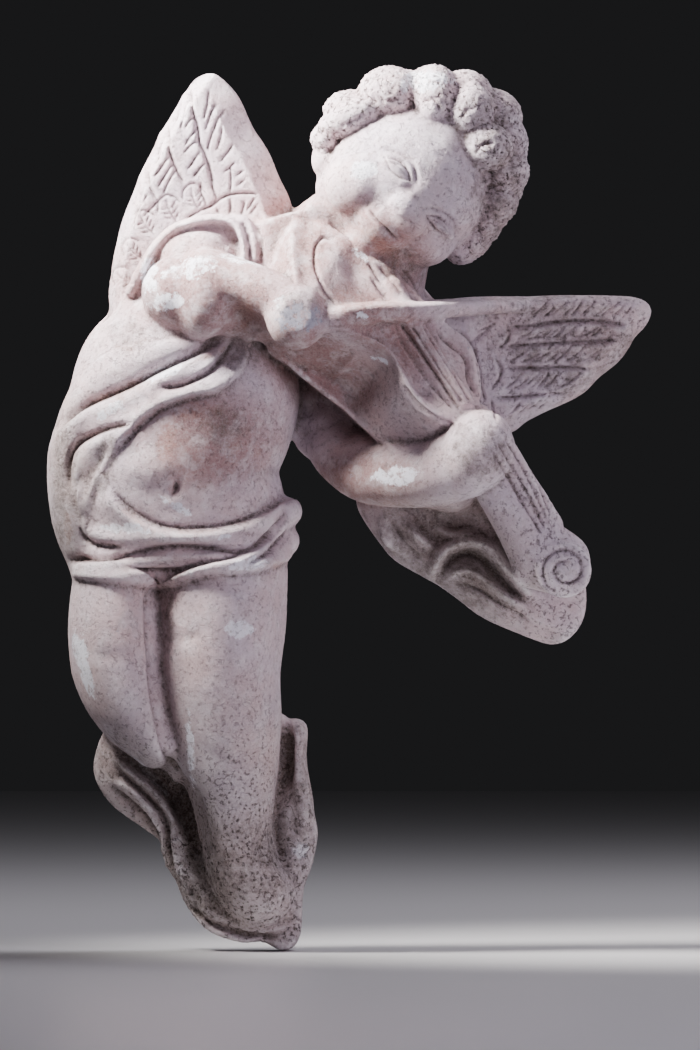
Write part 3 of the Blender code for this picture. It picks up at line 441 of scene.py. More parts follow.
def carve(spots, facing, lines):
    """Move the spots (across, up, out) along their facing by every carved line near them.

    A line is (kind, height, width, points). A ridge or groove is round. A fold is full on the
    left of its run, where it falls away over six widths, and has a sharp edge on the right.
    A bevel brings what is thin and within its width nearer to the wall, by a share of its distance.
    """
    moved = spots.copy()
    for kind, height, width, points in lines:
        line = curve_through(points, CARVED_STEPS) if len(points) > 2 else np.asarray(points, dtype=float)
        reach = width * (7.0 if kind == "fold" else 3.0)
        low = line.min(axis=0) - reach
        high = line.max(axis=0) + reach
        near = np.all((spots[:, :2] > low) & (spots[:, :2] < high), axis=1)
        near &= (facing[:, 2] > -0.2) & (spots[:, 2] > 1.0)
        chosen = np.nonzero(near)[0]
        away, side, ending = distances(spots[chosen, :2], line)
        if kind == "bevel":
            thin = np.clip((THIN - spots[chosen, 2]) / 3.0, 0.0, 1.0)
            moved[chosen, 2] *= 1.0 - height * thin * np.clip(1.0 - away / width, 0.0, 1.0)
            continue
        if kind == "fold":
            signed = away * side
            lift = np.exp(-(away / (3.0 * width)) ** 2) / (1.0 + np.exp(-signed / (0.25 * width)))
        else:
            lift = np.exp(-(away / width) ** 2)
        lift *= np.clip(0.3 + 0.7 * ending / (2.5 * width), 0.0, 1.0)
        front = np.clip((facing[chosen, 2] + 0.2) / 0.5, 0.0, 1.0)
        moved[chosen] += facing[chosen] * (height * lift * front)[:, None]
    return moved


def ridge(height, width, *points):
    return ("ridge", height, width, points)


def groove(depth, width, *points):
    return ("groove", -depth, width, points)


def fold(height, width, *points):
    return ("fold", height, width, points)


def bevel(share, width, *points):
    return ("bevel", share, width, points)


EDGE_LINES = [
    bevel(0.55, 9.0, *LEFT_WING_EDGE),
    bevel(0.45, 4.0, (-55, -24), (-55, -12), (-52, 6), (-46, 23), (-39, 38), (-31, 52), (-24, 61)),
    bevel(0.4, 5.0, (79, -60), (92, -53), (104, -47), (110, -41), (119, -32), (126, -22)),
    bevel(0.4, 6.0, (-60, -165), (-59, -178), (-53, -186), (-42, -194), (-36, -199), (-33, -209),
          (-29, -219)),
    bevel(0.4, 6.0, (28, -83), (39, -101), (55, -111), (70, -122), (79, -126), (92, -131)),
]
SASH_LINES = [
    fold(1.5, 1.4, (-30, -29.6), (-38, -30), (-45, -31), (-53, -33), (-60, -37.5)),
    ridge(1.6, 3.6, (-70, -50), (-60, -43.5), (-50, -38.5), (-40, -35), (-28, -31.5)),
    groove(2.7, 1.35, (-71, -58), (-67, -54), (-62, -50.6), (-55, -47.4), (-47, -44), (-40, -40.2),
           (-32, -36.6), (-25, -33.2), (-17, -29)),
    ridge(1.5, 2.6, (-73, -66), (-69, -60), (-62, -54.6), (-52, -51), (-42, -46), (-33, -40.6), (-24, -36)),
    groove(2.2, 1.0, (-37, -45.2), (-32, -45), (-27, -43.2), (-21, -39.8), (-17, -35.4), (-13, -30)),
    groove(2.6, 2.6, (-16, -38.6), (-13, -34), (-11.4, -30)),
    ridge(1.2, 1.5, (-28, -41.4), (-21, -37.4), (-16, -32)),
    fold(2.8, 1.8, (-61, -88), (-60, -82), (-58, -76), (-55, -71), (-50, -64), (-46, -59), (-42, -55.2),
         (-36, -51.4), (-28, -48.8), (-20, -47), (-14, -43.4), (-10, -39), (-8, -33)),
    groove(1.2, 1.0, (-51, -65.6), (-46, -60), (-42, -56.2), (-36, -52.2), (-28, -49.4), (-20, -47.8)),
    groove(2.4, 1.2, (-46.5, -57.4), (-55, -58.8), (-60, -60.6), (-64.5, -63.4), (-67.4, -67.6),
           (-68.4, -73), (-67.6, -79)),
    ridge(1.5, 2.3, (-52, -61), (-58, -63.6), (-62.6, -67.4), (-65, -73), (-65.4, -80)),
    groove(2.8, 2.3, (-53, -65), (-57.4, -70), (-60.6, -75.4), (-61.2, -82)),
    ridge(1.2, 1.2, (-63.4, -87), (-63.8, -81), (-62.6, -76.6)),
]
HIP_LINES = [
    fold(2.8, 1.8, (5, -83.6), (-2, -86.4), (-6, -88.4), (-12, -90.8), (-20, -92.4), (-30, -93), (-37, -92),
         (-42, -90), (-47, -87), (-51, -82.6), (-54, -78)),
    groove(1.2, 1.0, (-4, -86.8), (-11, -89.8), (-20, -91.6), (-30, -92.2), (-37, -91.2), (-43, -88.8),
           (-48, -85.4), (-52, -81)),
    ridge(1.4, 2.4, (-62, -88), (-61, -92.6), (-55, -95), (-45, -95.6), (-32, -95.4), (-20, -95.4),
          (-10, -94), (-2, -90.6)),
    groove(1.4, 1.0, (-64, -92.6), (-62.4, -95.6), (-58.6, -97.8), (-51, -98.2)),
    groove(2.7, 1.2, (-67, -102.6), (-58, -102.2), (-50, -101.6), (-44, -100.2), (-38, -98.8), (-30, -98),
           (-20, -98.8), (-12, -99.6), (-7, -98.8), (-2.6, -95.4), (1, -91), (4, -86.6)),
    ridge(1.3, 1.6, (-66, -105), (-54, -104.6), (-44, -103.4), (-36, -101.6), (-28, -101.2), (-17, -101)),
    groove(1.9, 0.95, (-46, -105.4), (-40, -106.2), (-32, -106), (-24, -104.2), (-17, -102.8), (-11, -101)),
    ridge(1.3, 1.3, (-50, -107.4), (-40, -108.6), (-31, -108), (-22, -105.8), (-12, -103.6), (-6, -100),
          (0, -95), (4.6, -89)),
    groove(1.0, 0.7, (-9, -104.6), (-3, -101), (1, -96.6), (4, -92)),
    fold(2.8, 1.7, (-68, -108.6), (-60, -109.4), (-50, -110.4), (-43, -111.6), (-38, -112.2), (-33, -111.4),
         (-28, -109.6), (-20, -107.4), (-10, -106.8), (0, -104.8), (7, -101)),
]
LEG_LINES = [
    groove(2.2, 1.4, (-41.4, -113), (-41, -124), (-40.4, -134), (-39.6, -144), (-37.8, -156), (-35, -168),
           (-32.6, -177)),
    groove(1.0, 2.4, (-33, -129), (-27, -128), (-23, -125)),
    groove(0.8, 3.2, (-25, -166), (-14, -169), (-4, -166)),
    groove(0.8, 2.6, (-62, -133), (-55, -135), (-48, -134)),
]
LOW_CLOTH_LINES = [
    groove(6.0, 5.0, (-40, -174), (-33, -180), (-28, -188), (-25.4, -197)),
    ridge(4.6, 1.8, (-53, -169), (-47, -175), (-40, -180.4), (-35.6, -186), (-32.8, -192), (-31, -198),
          (-29.4, -206), (-28, -211)),
    groove(1.8, 1.1, (-50, -175), (-44, -180.6), (-38, -187), (-34.8, -193), (-33.2, -200), (-31.6, -208)),
    ridge(2.8, 1.5, (-52, -177), (-45, -182.4), (-39.4, -188.6), (-36.4, -195), (-34.2, -202),
          (-32.6, -209)),
    groove(1.5, 1.2, (-53, -180), (-46, -185.6), (-41, -190.4), (-37.4, -196)),
    groove(4.2, 1.7, (5, -159), (4.6, -172), (3.4, -182), (2.6, -190), (3, -197), (4.6, -204)),
    groove(2.6, 1.5, (-28, -217.6), (-24, -222.2), (-18, -225.6), (-10, -228.2), (-3, -229.2), (2, -228.4)),
    ridge(1.4, 1.2, (-29, -214), (-25.6, -219.4), (-18, -223.4), (-10, -225.8), (-2, -227), (4, -226)),
    ridge(1.8, 2.6, (8, -199), (8.4, -203)),
]
UNDER_CLOTH_LINES = [
    ridge(4.6, 2.2, (54, -107), (56, -101.5), (61, -97.6), (68, -96.8), (73, -99), (77, -104), (83, -111),
          (88, -115)),
    groove(2.6, 1.5, (55, -109), (60, -102.4), (66, -100.6), (71, -103.4), (76, -109), (83, -115.6)),
    ridge(2.8, 1.5, (59, -107.4), (65, -106), (70.6, -109), (76, -113.6), (84, -118.6)),
    groove(1.6, 1.1, (62, -111), (69, -112.6), (76, -117.6), (85, -123)),
    ridge(3.4, 1.7, (36, -90), (39, -95), (43, -99.6)),
    ridge(3.4, 1.7, (45, -90.4), (48.6, -95), (54, -99.4)),
    ridge(2.8, 1.5, (55, -92), (60, -94), (67, -93.4)),
    groove(2.0, 1.4, (40.4, -91), (44, -97), (49, -102)),
]
SHOULDER_LINES = [
    groove(1.2, 3.0, (-10.4, -18), (-9.6, -24)),
    groove(1.0, 5.0, (-21, -12), (-20, -18)),
    groove(2.0, 2.4, (-17.6, 3), (-13.8, 3.6), (-12.6, 1.4)),
    groove(0.9, 0.8, (-4.2, 9), (-3.6, 3), (-3.8, -3)),
]


BARB_DEPTH = 0.8         # mm, depth of a knife cut in the feathers
BARB_WIDTH = 0.42        # mm, its width


def along(line, share):
    """Point at a share of the way along a line of points."""
    line = np.asarray(line, dtype=float)
    reach = np.concatenate(([0.0], np.cumsum(np.linalg.norm(np.diff(line, axis=0), axis=1))))
    return np.array([np.interp(share * reach[-1], reach, line[:, k]) for k in (0, 1)])


def barbs(line, count, lean):
    """Knife cuts that start on a line and lean away from it, as uneven as cuts made by hand."""
    cuts = []
    for k in range(count):
        start = along(line, (k + 0.5 + 0.2 * math.sin(2.4 * k)) / count)
        size = 1.0 + 0.25 * math.sin(3.7 * k + 1.0)
        turn = 0.16 * math.sin(5.1 * k)
        run = np.array(turned(*lean, turn)) * size
        middle = start + run * 0.5 + np.array((0.35, -0.3))
        cuts.append(groove(BARB_DEPTH * (0.8 + 0.3 * math.sin(1.9 * k)), BARB_WIDTH, tuple(start),
                           tuple(middle), tuple(start + run)))
    return cuts


def scale_feather(across, up, radius, turn):
    """Small leaf-like feather: a raised lobe, a cut round its outer tip, a shaft and slanting side cuts."""
    lean = math.radians(turn)

    def spot(x, y):
        right, rise = turned(x * radius, y * radius, lean)
        return (across + right, up + rise)
    lines = [ridge(0.7, 0.55 * radius, spot(-0.2, 0), spot(0.2, 0)),
             groove(0.6, 0.45, spot(0.95, 0.1), spot(0.6, 0.8), spot(0.1, 1.1), spot(-0.5, 0.85),
                    spot(-0.85, 0.2)),
             groove(0.55, 0.4, spot(0.05, 0.9), spot(-0.06, 0.1), spot(0.08, -1.0))]
    for k, along_shaft in enumerate((-0.75, -0.35, 0.05)):
        lines.append(groove(0.5, 0.36, spot(0.06, along_shaft), spot(0.5 + 0.1 * k, along_shaft + 0.45)))
        lines.append(groove(0.5, 0.36, spot(-0.1, along_shaft + 0.12),
                            spot(-0.62, along_shaft + 0.5 - 0.1 * k)))
    return lines


LEFT_SHAFTS = [
    [(-28.2, 55.5), (-27.4, 51), (-26.4, 46.4), (-25.2, 42.4), (-24.6, 37.5), (-23, 34), (-21.4, 29.4),
     (-20.2, 24)],
    [(-35.4, 43), (-35.2, 37.6), (-34.2, 33), (-32.2, 28), (-29.8, 23.8)],
    [(-42.6, 28), (-41.8, 23.4), (-40.4, 21), (-38.8, 18.4)],
]
LEFT_CUTS = [  # each runs from its upper end (across, up) to its lower end
    ((-21.3, 55), (-22, 50), (-23.2, 45)), ((-19, 50.4), (-20.8, 47), (-22.6, 41.5)),
    ((-16.4, 47.8), (-18.6, 45), (-19.8, 41.2)), ((-17, 43), (-17.5, 39), (-18.8, 34.8)),
    ((-13.4, 37), (-14.8, 34.5), (-17.8, 30.8)), ((-20, 42), (-21.4, 37), (-21.9, 34.6)),
    ((-12.6, 31), (-14.4, 29), (-16.4, 27.4)), ((-10, 28), (-12.5, 26)), ((-9.6, 24.6), (-12.4, 22.8)),
    ((-14.2, 29), (-14, 24), (-14.4, 20.6)), ((-28, 52), (-29.6, 48), (-31, 42)),
    ((-26.3, 46.2), (-28, 44.6), (-29.6, 42)), ((-25.3, 42.4), (-28.3, 38.2), (-29.5, 36.2)),
    ((-25, 38), (-28, 36), (-29.9, 33.6)), ((-24.3, 34.6), (-26, 32), (-28.6, 28.3)),
    ((-22.3, 31), (-24.5, 28.5), (-26.6, 25.8)), ((-31.8, 48), (-32.9, 44.4)),
    ((-36, 40.4), (-37.6, 36), (-39.7, 32.8)), ((-37.2, 35), (-38.8, 32), (-40, 30)),
    ((-34.6, 33), (-37.4, 29), (-39.8, 26)), ((-33.4, 30.5), (-36, 26.5), (-38.6, 22.2)),
    ((-31.8, 29), (-34.4, 25.2), (-36.8, 20)), ((-42, 20), (-44, 17), (-47, 13.2)),
    ((-38, 18.4), (-41, 15), (-43.4, 12.6)), ((-14.4, 18.4), (-14.2, 15.6), (-14.5, 13.4)),
    ((-9.4, 18), (-10, 15), (-10.7, 13.2)), ((-5.8, 19.2), (-8.8, 14.6)), ((-5.2, 16.4), (-7.8, 13.2)),
    ((-18.8, 15.4), (-18.2, 13.2)), ((-20.4, 24), (-20, 21.4), (-19, 18.6), (-21.6, 15.6)),
    ((-24.2, 24), (-24, 20.6), (-21.8, 15.6)),
]
RIGHT_SHAFTS = [
    [(80, -24.6), (86, -24.1), (92, -23.2), (98, -22.6), (106, -22.4), (112, -22.8), (118, -23.8)],
    [(79, -31), (87, -30.4), (98, -29.7), (107, -29.2), (115, -28.8)],
    [(79.5, -38.3), (89, -38.3), (99, -38), (107, -38.7)],
    [(74.5, -48.3), (82, -48), (89, -47.3), (96, -47.3)],
]
RIGHT_BARBS = [  # where the cuts start, how many, and how far each runs across and up
    ([(85, -21.6), (97, -20.8), (119, -20.8)], 10, (4.6, 5.0)),
    ([(80, -29.2), (94, -28.4), (107, -28)], 9, (5.6, 4.0)),
    ([(77.4, -36.2), (90, -36.4), (104, -36.2)], 7, (7.2, 5.4)),
    ([(76.4, -45.4), (88, -45), (98, -44.8)], 8, (5.0, 5.0)),
    ([(77, -54.8), (82, -54), (90, -51.8)], 4, (3.8, 4.6)),
]
SMALL_FEATHERS = [  # across, up, radius and turn in degrees
    (-26.4, 18.6, 4.6, 16), (-34.4, 14.6, 4.8, 24), (-42.6, 9.8, 4.6, 34), (-46.8, 0.8, 4.4, 44),
    (-50.2, -8.4, 4.2, 54),
]
FEATHER_ROOTS = [
    groove(1.0, 0.55, (-29, 12), (-24, 14.8), (-20.4, 16.2), (-17.4, 18.6), (-14, 20), (-9, 20.4),
           (-5, 20)),
    groove(1.0, 0.6, (78.2, -23.5), (79.2, -27), (77.6, -30.3), (75.3, -32)),
    ridge(0.8, 1.2, (76.8, -24), (77.6, -27), (76, -29.8)),
    groove(1.0, 0.6, (74.5, -35), (76.4, -38.6), (75.8, -42), (73.6, -45)),
    ridge(0.8, 1.4, (73.4, -36.5), (74.6, -39), (74, -42)),
    groove(0.7, 0.5, (66, -30), (70, -27), (74, -23.5)),
    groove(0.6, 0.45, (69, -26), (72.6, -24.6)),
    groove(0.9, 0.5, (73, -48.6), (73.6, -52), (74.4, -55.8)),
]


def feather_lines():
    lines = [groove(1.2, 0.62, *shaft) for shaft in LEFT_SHAFTS + RIGHT_SHAFTS]
    for shaft, side in zip(LEFT_SHAFTS, (-2.2, -2.0, -1.8)):
        lines.append(ridge(0.7, 1.5, *[(a + side, u) for a, u in shaft]))
    lines += [ridge(0.8, 1.3, *[(a, u - 1.9) for a, u in shaft]) for shaft in RIGHT_SHAFTS]
    lines += [groove(0.75, BARB_WIDTH, *cut) for cut in LEFT_CUTS]
    for row in RIGHT_BARBS:
        lines += barbs(*row)
    for row in SMALL_FEATHERS:
        lines += scale_feather(*row)
    return lines + FEATHER_ROOTS


VIOLIN_LINES = [
    groove(1.0, 0.55, (20, 4.0), (17, 5.0), (14.6, 2.4), (13.9, -2), (14.4, -6), (16, -10), (18, -13.6),
           (21, -17)),
    ridge(1.2, 1.8, (12, 11), (18, 7.4), (24, 3.6), (30, -0.4), (36, -5), (42, -10)),
    groove(1.6, 2.6, (23.6, -1.6), (27, -6.6), (28.4, -12.6)),
    groove(0.9, 0.5, (32, -4), (35, -8.8), (36.4, -10.6)),
    groove(0.9, 0.5, (35, -5), (38.6, -8.8), (43, -13.6)),
    groove(1.1, 0.6, (33, -9), (35.4, -12.4), (38, -15.4)),
    groove(0.8, 0.5, (43, -5.6), (46, -9), (49, -13.6)),
    groove(5.2, 2.7, (37, -26.8), (42, -30.8), (46.2, -37), (50.8, -44.2), (56, -50.8)),
    groove(3.0, 1.5, (31, -26.8), (36, -28.2), (39.8, -31), (42, -34.6)),
    groove(1.3, 0.6, (55, -26), (57, -29), (60, -31.6), (63, -34), (64.6, -37), (65, -42), (67.2, -46.6)),
    ridge(0.8, 1.2, (60, -27.6), (64, -31), (66.4, -36), (67, -41), (68.6, -46)),
    groove(1.0, 0.6, (62, -25.6), (65.4, -29), (67.6, -33), (68.6, -38), (69.6, -44), (71, -49)),
    groove(1.7, 0.66, (43.6, -45), (47.6, -50.4), (53.6, -54.8), (60, -57.4)),
    ridge(0.9, 1.3, (29, -33), (25, -37), (20, -41.4)),
    ridge(0.7, 1.2, (28, -33), (34, -35.2), (39.4, -37.6)),
    groove(2.8, 3.6, (34.6, -39.4), (30, -45.4), (25.4, -50.4)),
    ridge(0.7, 0.9, (2, -34.6), (12, -42.2), (22, -50), (32, -59), (42, -67)),
]
STRINGS = [
    [(41, -24.6), (46.6, -33), (52, -41.2), (57, -48), (60, -52)],
    [(42.8, -24.4), (47.6, -31), (52.8, -39), (57.6, -46), (61.6, -52.2)],
    [(46.2, -24.6), (50.4, -31), (54.8, -38), (58.6, -43.6), (63, -50)],
    [(50.2, -24), (54, -31), (58, -37), (61.4, -42.2), (65.6, -49.6)],
]


def violin_lines():
    lines = VIOLIN_LINES + [groove(1.0, 0.48, *string) for string in STRINGS]
    lines.append(ridge(0.7, 1.0, (44, -22), (51, -33), (58, -43), (62, -49.6)))
    for offset in (0.0, 2.2, 4.4, 6.6):
        lines.append(groove(0.9, 0.45, (73 + offset, -66 + 0.9 * offset), (80 + offset, -78 + 0.9 * offset),
                            (89 + 0.5 * offset, -93 + 0.9 * offset)))
    turns = np.linspace(0.4 * math.pi, 3.4 * math.pi, 22)
    lines.append(groove(1.1, 0.55, *[(97.3 + (1.6 + 0.62 * t) * math.cos(t),
                                      -105.8 + (1.6 + 0.62 * t) * math.sin(t)) for t in turns]))
    lines.append(ridge(0.8, 1.3, (22, -19.6), (36, -18.8), (50, -18.4), (64, -17.6), (76, -17)))
    return lines


def eye_lines(across, up, scale):
    """Closed almond eye: cuts round the lids, the slit between them and the crease above."""
    turn = math.radians(FACE_TILT)

    def cut(depth, width, *points):
        spots = [turned(x, y, turn) for x, y in points]
        return groove(depth, width, *[(across + scale * x, up + scale * y) for x, y in spots])
    return [
        cut(0.8, 0.42, (-6.0, 0.0), (-2.6, 2.1), (0.4, 2.5), (3.2, 1.6), (5.9, 0.0)),
        cut(0.8, 0.42, (-6.0, 0.0), (-2.6, -1.8), (0.4, -2.1), (3.2, -1.6), (5.9, 0.0)),
        cut(0.4, 0.36, (-4.2, 0.0), (0.0, 0.8), (5.6, 0.0)),
        cut(0.8, 0.75, (-8.2, 2.2), (-2.6, 4.6), (1.6, 5.0), (4.6, 3.8), (7.6, 0.6)),
        cut(1.1, 1.7, (7.2, 1.4), (6.8, -2.2), (3.4, -4.2)),
    ]


FACE_LINES = [
    groove(1.2, 0.5, (32.4, 13.6), (34.4, 11), (37, 8.4), (39.4, 5.8), (41.4, 3.6)),
    groove(1.6, 2.2, (30.6, 16.6), (32.8, 15.6)),
    groove(0.8, 0.9, (36, 15), (33.2, 13.4)),
    groove(0.8, 1.2, (36.4, 8.0), (39.4, 5.0)),
    ridge(0.6, 1.3, (33.4, 10.6), (35.6, 8.0), (38.2, 5.2)),
    groove(0.9, 0.6, (41.0, 14.4), (42.2, 13.4)),
    groove(0.9, 0.6, (45.6, 10.2), (46.6, 9.4)),
    groove(0.7, 0.9, (38.0, 14.0), (39.6, 13.6)),
    groove(1.2, 2.4, (50.6, 15.6), (51.6, 12.4)),
]
NAVEL_LINES = [
    groove(2.0, 0.9, (-31.6, -76), (-32.2, -78.6), (-33.2, -80.6)),
    groove(1.0, 2.2, (-31.6, -77), (-33.4, -81)),
    ridge(0.6, 1.4, (-30, -81.6), (-34, -83.4), (-37, -81)),
]
CURL_LINES = [
    groove(0.9, 0.5, (50, 50), (52.2, 51), (54.8, 49.8), (55.8, 47), (56.6, 46)),
    groove(0.7, 0.6, (34, 52), (38, 50.4), (42, 51.4)),
    groove(0.7, 0.6, (22, 42), (27, 43.6), (31, 46.4)),
    groove(0.7, 0.6, (62.4, 44), (64.6, 47), (68, 48.4)),
    groove(0.8, 0.6, (67.6, 33), (70, 36), (74, 36.4)),
]


KNUCKLES = (8.5, -22.0)          # across and up at the middle of the rubbed patch
KNUCKLES_HALF = (10.5, 9.0)      # half its size
KNUCKLES_OUT = 69.8              # how far out it is rubbed down to


def rubbed_flat(spots):
    """The knuckles of the bowing hand, rubbed down to a flat patch."""
    near = np.all(np.abs(spots[:, :2] - KNUCKLES) < KNUCKLES_HALF, axis=1)
    spots[near, 2] = np.minimum(spots[near, 2], KNUCKLES_OUT)
    return spots


# Assembly

def cut_flat(mesh, out):
    """Cut away what lies nearer to the wall than out, and close the cut with a flat face."""
    form = bmesh.new()
    form.from_mesh(mesh)
    everything = form.verts[:] + form.edges[:] + form.faces[:]
    bmesh.ops.bisect_plane(form, geom=everything, plane_co=place(0, 0, out), plane_no=(0, 1, 0),
                           clear_outer=True, dist=1e-7)
    rim = [edge for edge in form.edges if edge.is_boundary]
    bmesh.ops.triangle_fill(form, edges=rim, use_beauty=True, normal=(0, 1, 0))
    bmesh.ops.recalc_face_normals(form, faces=form.faces)
    if out == 0.0:      # the last cut
        bmesh.ops.triangulate(form, faces=form.faces)
    form.to_mesh(mesh)
    form.free()


def carved(mesh, *groups):
    """Carve the groups of lines into a mesh one after the other, with fresh facings for each."""
    for lines in groups:
        spots, facing = measured(mesh)
        moved_to(mesh, carve(spots, facing, lines))


FINE_ZONES = [(-54, -26, -2, 60), (73, -60, 126, -16), (29, 2, 64, 37), (12, -57, 73, 8)]


def refined(mesh):
    """Halve the grain where knife cuts are carved: wings, eyes, mouth and strings."""
    form = bmesh.new()
    form.from_mesh(mesh)
    chosen = set()
    for vert in form.verts:
        across, up, out = vert.co.x / MM + HANG_ACROSS, vert.co.z / MM, -vert.co.y / MM
        if out > 5.0 and vert.normal.y < -0.1 and any(
                left < across < right and low < up < high for left, low, right, high in FINE_ZONES):
            chosen.add(vert.index)
    edges = [edge for edge in form.edges if edge.verts[0].index in chosen and edge.verts[1].index in chosen]
    bmesh.ops.subdivide_edges(form, edges=edges, cuts=1, use_grid_fill=True)
    form.to_mesh(mesh)
    form.free()


def rows_of(things, value):
    """A three-part value of every mesh item, as rows."""
    rows = np.empty(len(things) * 3)
    things.foreach_get(value, rows)
    return rows.reshape(-1, 3)


def measured(mesh):
    """Points in millimetres as (across, up, out), and the facings in the same order."""
    raw = rows_of(mesh.vertices, "co") / MM
    normals = rows_of(mesh.vertex_normals, "vector")
    return (np.column_stack((raw[:, 0] + HANG_ACROSS, raw[:, 2], -raw[:, 1])),
            np.column_stack((normals[:, 0], normals[:, 2], -normals[:, 1])))


def moved_to(mesh, spots):
    raw = np.column_stack((spots[:, 0] - HANG_ACROSS, -spots[:, 2], spots[:, 1])) * MM
    mesh.vertices.foreach_set("co", raw.ravel())
    mesh.update()


FACE_CENTRE = (44.5, 21.5)       # across and up
FACE_RADIUS = 25.5


def hair_share(spots):
    """One on the locks of hair, nothing on the face and body."""
    across, up = spots[:, 0], spots[:, 1]
    ring = np.clip((np.hypot(across - FACE_CENTRE[0], up - FACE_CENTRE[1]) - FACE_RADIUS) / 3.0, 0.0, 1.0)
    return ring * (across > 11) * ((across + 1.1 * up > 52) | (across > 63)) * (up > -5)


GRIT = 0.08              # mm, height of the fine lumps everywhere
HAIR_GRIT = 0.34         # what the hair has on top of that
LOW_GRIT = 0.18          # what the foot and low cloth have on top of it
LUMPS = 0.75             # fine lumps to the millimetre
WAVE = 0.22              # mm, height of the slow waves
WAVES = 0.11             # waves to the millimetre


def falling(spots, top, drop):
    """Nothing above the height top, rising to one where the figure is lower by drop."""
    return np.clip((top - spots[:, 1]) / drop, 0, 1)


def rough(mesh):
    """Unevenness of the hand-finished cast: waves everywhere, lumps in the hair and low cloth."""
    spots, facing = measured(mesh)
    strength = GRIT + HAIR_GRIT * hair_share(spots) + LOW_GRIT * falling(spots, -175, 35)
    fine = np.array([noise.fractal(Vector(spot) * LUMPS, 0.5, 2.0, 4) for spot in spots])
    wide = np.array([noise.noise(Vector(spot) * WAVES + Vector((7.0, 0.0, 0.0))) for spot in spots])
    moved_to(mesh, spots + facing * (fine * strength + WAVE * wide)[:, None])


# Patches of the finish, and of painted shade, as (across, up, half long, half short, roll), in millimetres
LIMEWASH = [
    (-27, -5.5, 10, 4, 15), (-35, -16.5, 7, 3.4, 8), (-41, -7, 3, 8, 0), (-12, -2.4, 8, 1.3, -14),
    (2, -17.5, 3, 1.8, 50), (31, 27, 5, 4, 0), (-63, -137, 2.6, 13, 14), (-11.5, -126, 6, 3.4, 0),
    (-27.2, -165, 1.6, 14, 4), (-32.5, -84.4, 7, 1.8, -30), (-15.5, -95, 3.4, 1.2, 10),
    (41, -74.6, 9, 3.4, 4), (-50, -92, 9, 2.2, -6), (36, -36.2, 3.4, 1.0, -20), (-36, -40, 9, 2.4, 22),
    (29, -0.6, 4, 1.4, -38), (30, -21.4, 2.4, 1.6, 0), (-55, -53, 6, 2, 30), (-40, -176, 12, 1.6, -46),
    (9, -200, 3.4, 3.0, 0), (50, 57, 12, 4, 0), (-8, -104, 8, 2.2, 10),
]
TERRACOTTA_AND_SHADE = [
    (-24, -53, 9, 4.4, -10), (-35, -64, 4, 7, 0), (-13, -63, 3.4, 4.6, 20), (-5, -67, 2.0, 2.6, 0),
    (-47, -87.6, 8, 1.5, -42), (-30, -93, 14, 1.3, 0), (-68.4, -91, 1.6, 7, 0), (-48, -47, 7, 3, 26),
    # The patch at (36, 1) under the chin is reddish painted shade; the other patches are reddish residue in
    # the creases.
    (36, 1, 13, 4.4, -38), (-33, -79.6, 2, 3, 0), (-48, -32.2, 7, 0.9, -14), (-13.4, 2.6, 1.6, 3, 0),
    (-55, -47.6, 14, 1.2, 26), (-9, -21, 3, 6, 0), (0, -104, 3, 2, 0), (-44, -57, 9, 1.4, 38),
    (-22, -35, 9, 1.2, 24),
]
BARE_GREY = [(8.4, -22.4, 8.0, 5.4, 0)]
# Greyer darker patches: the one on the under cloth is painted shade below the violin and the forearm; the
# other runs down the far left side of the body.
GREYED_AND_SHADE = [(58, -103, 30, 17, -35), (-68, -82, 7, 30, 0)]
# Broad darker pink-brown patches over the middle of the figure: partly a flush of dirt, partly painted
# shade, as under the chin and below the violin.
FLUSH_AND_SHADE = [
    (-22, -14, 30, 16, -10), (8, 4, 14, 18, 0), (34, 2, 22, 12, -38), (12, -36, 22, 12, -38),
    (36, -24, 26, 10, -30), (30, -76, 20, 9, 0), (-16, -9, 15, 8, -15), (-22, -62, 22, 16, 0),
]
# Dark patches: partly grime, partly painted shade under the chin, under the violin and the forearm, between
# the legs, and on the right of the hair and the wing.
GRIME_AND_SHADE = [
    (-57, -72, 5, 15, -14), (-70, -78, 5, 26, 0), (-12, -35, 9, 5, 20), (-26, -212, 12, 15, 40),
    (-6, -203, 18, 16, 0), (44, -5, 9, 7, 0), (76, 18, 10, 26, 0), (70, 42, 12, 12, 0), (-48, -28, 9, 6, 0),
    (10, -180, 5, 26, 0), (-50, -173, 8, 14, 40), (-36, -120, 4, 14, 0), (8, -20, 8, 8, 0),
    (100, -32, 30, 18, -20), (58, -103, 28, 15, -35), (69, -67, 13, 10, -30), (-16, -58, 9, 8, 0),
]


def patches(spots, rows):
    """Strength at each point of the strongest patch there, fading over its outer part."""
    best = np.zeros(len(spots))
    for across, up, half_long, half_short, roll in rows:
        run, rise = turned(spots[:, 0] - across, spots[:, 1] - up, -math.radians(roll))
        reach = np.hypot(run / half_long, rise / half_short)
        best = np.maximum(best, np.clip(1.9 - 1.4 * reach, 0.0, 1.0))
    return best * (spots[:, 2] > 6.0)


NEAR_PASSES = 6          # how often a point is averaged with its neighbours to find cuts
WIDE_PASSES = 70         # the same again to find hollows and raised parts
CUT_DEPTH = 0.22         # mm, at this depth a cut is full of dirt
HOLLOW_DEPTH = 2.2       # mm, at this depth a hollow gets its full painted shade
RUBBED_HEIGHT = 1.6      # mm, what stands out by this and a little more is rubbed bright


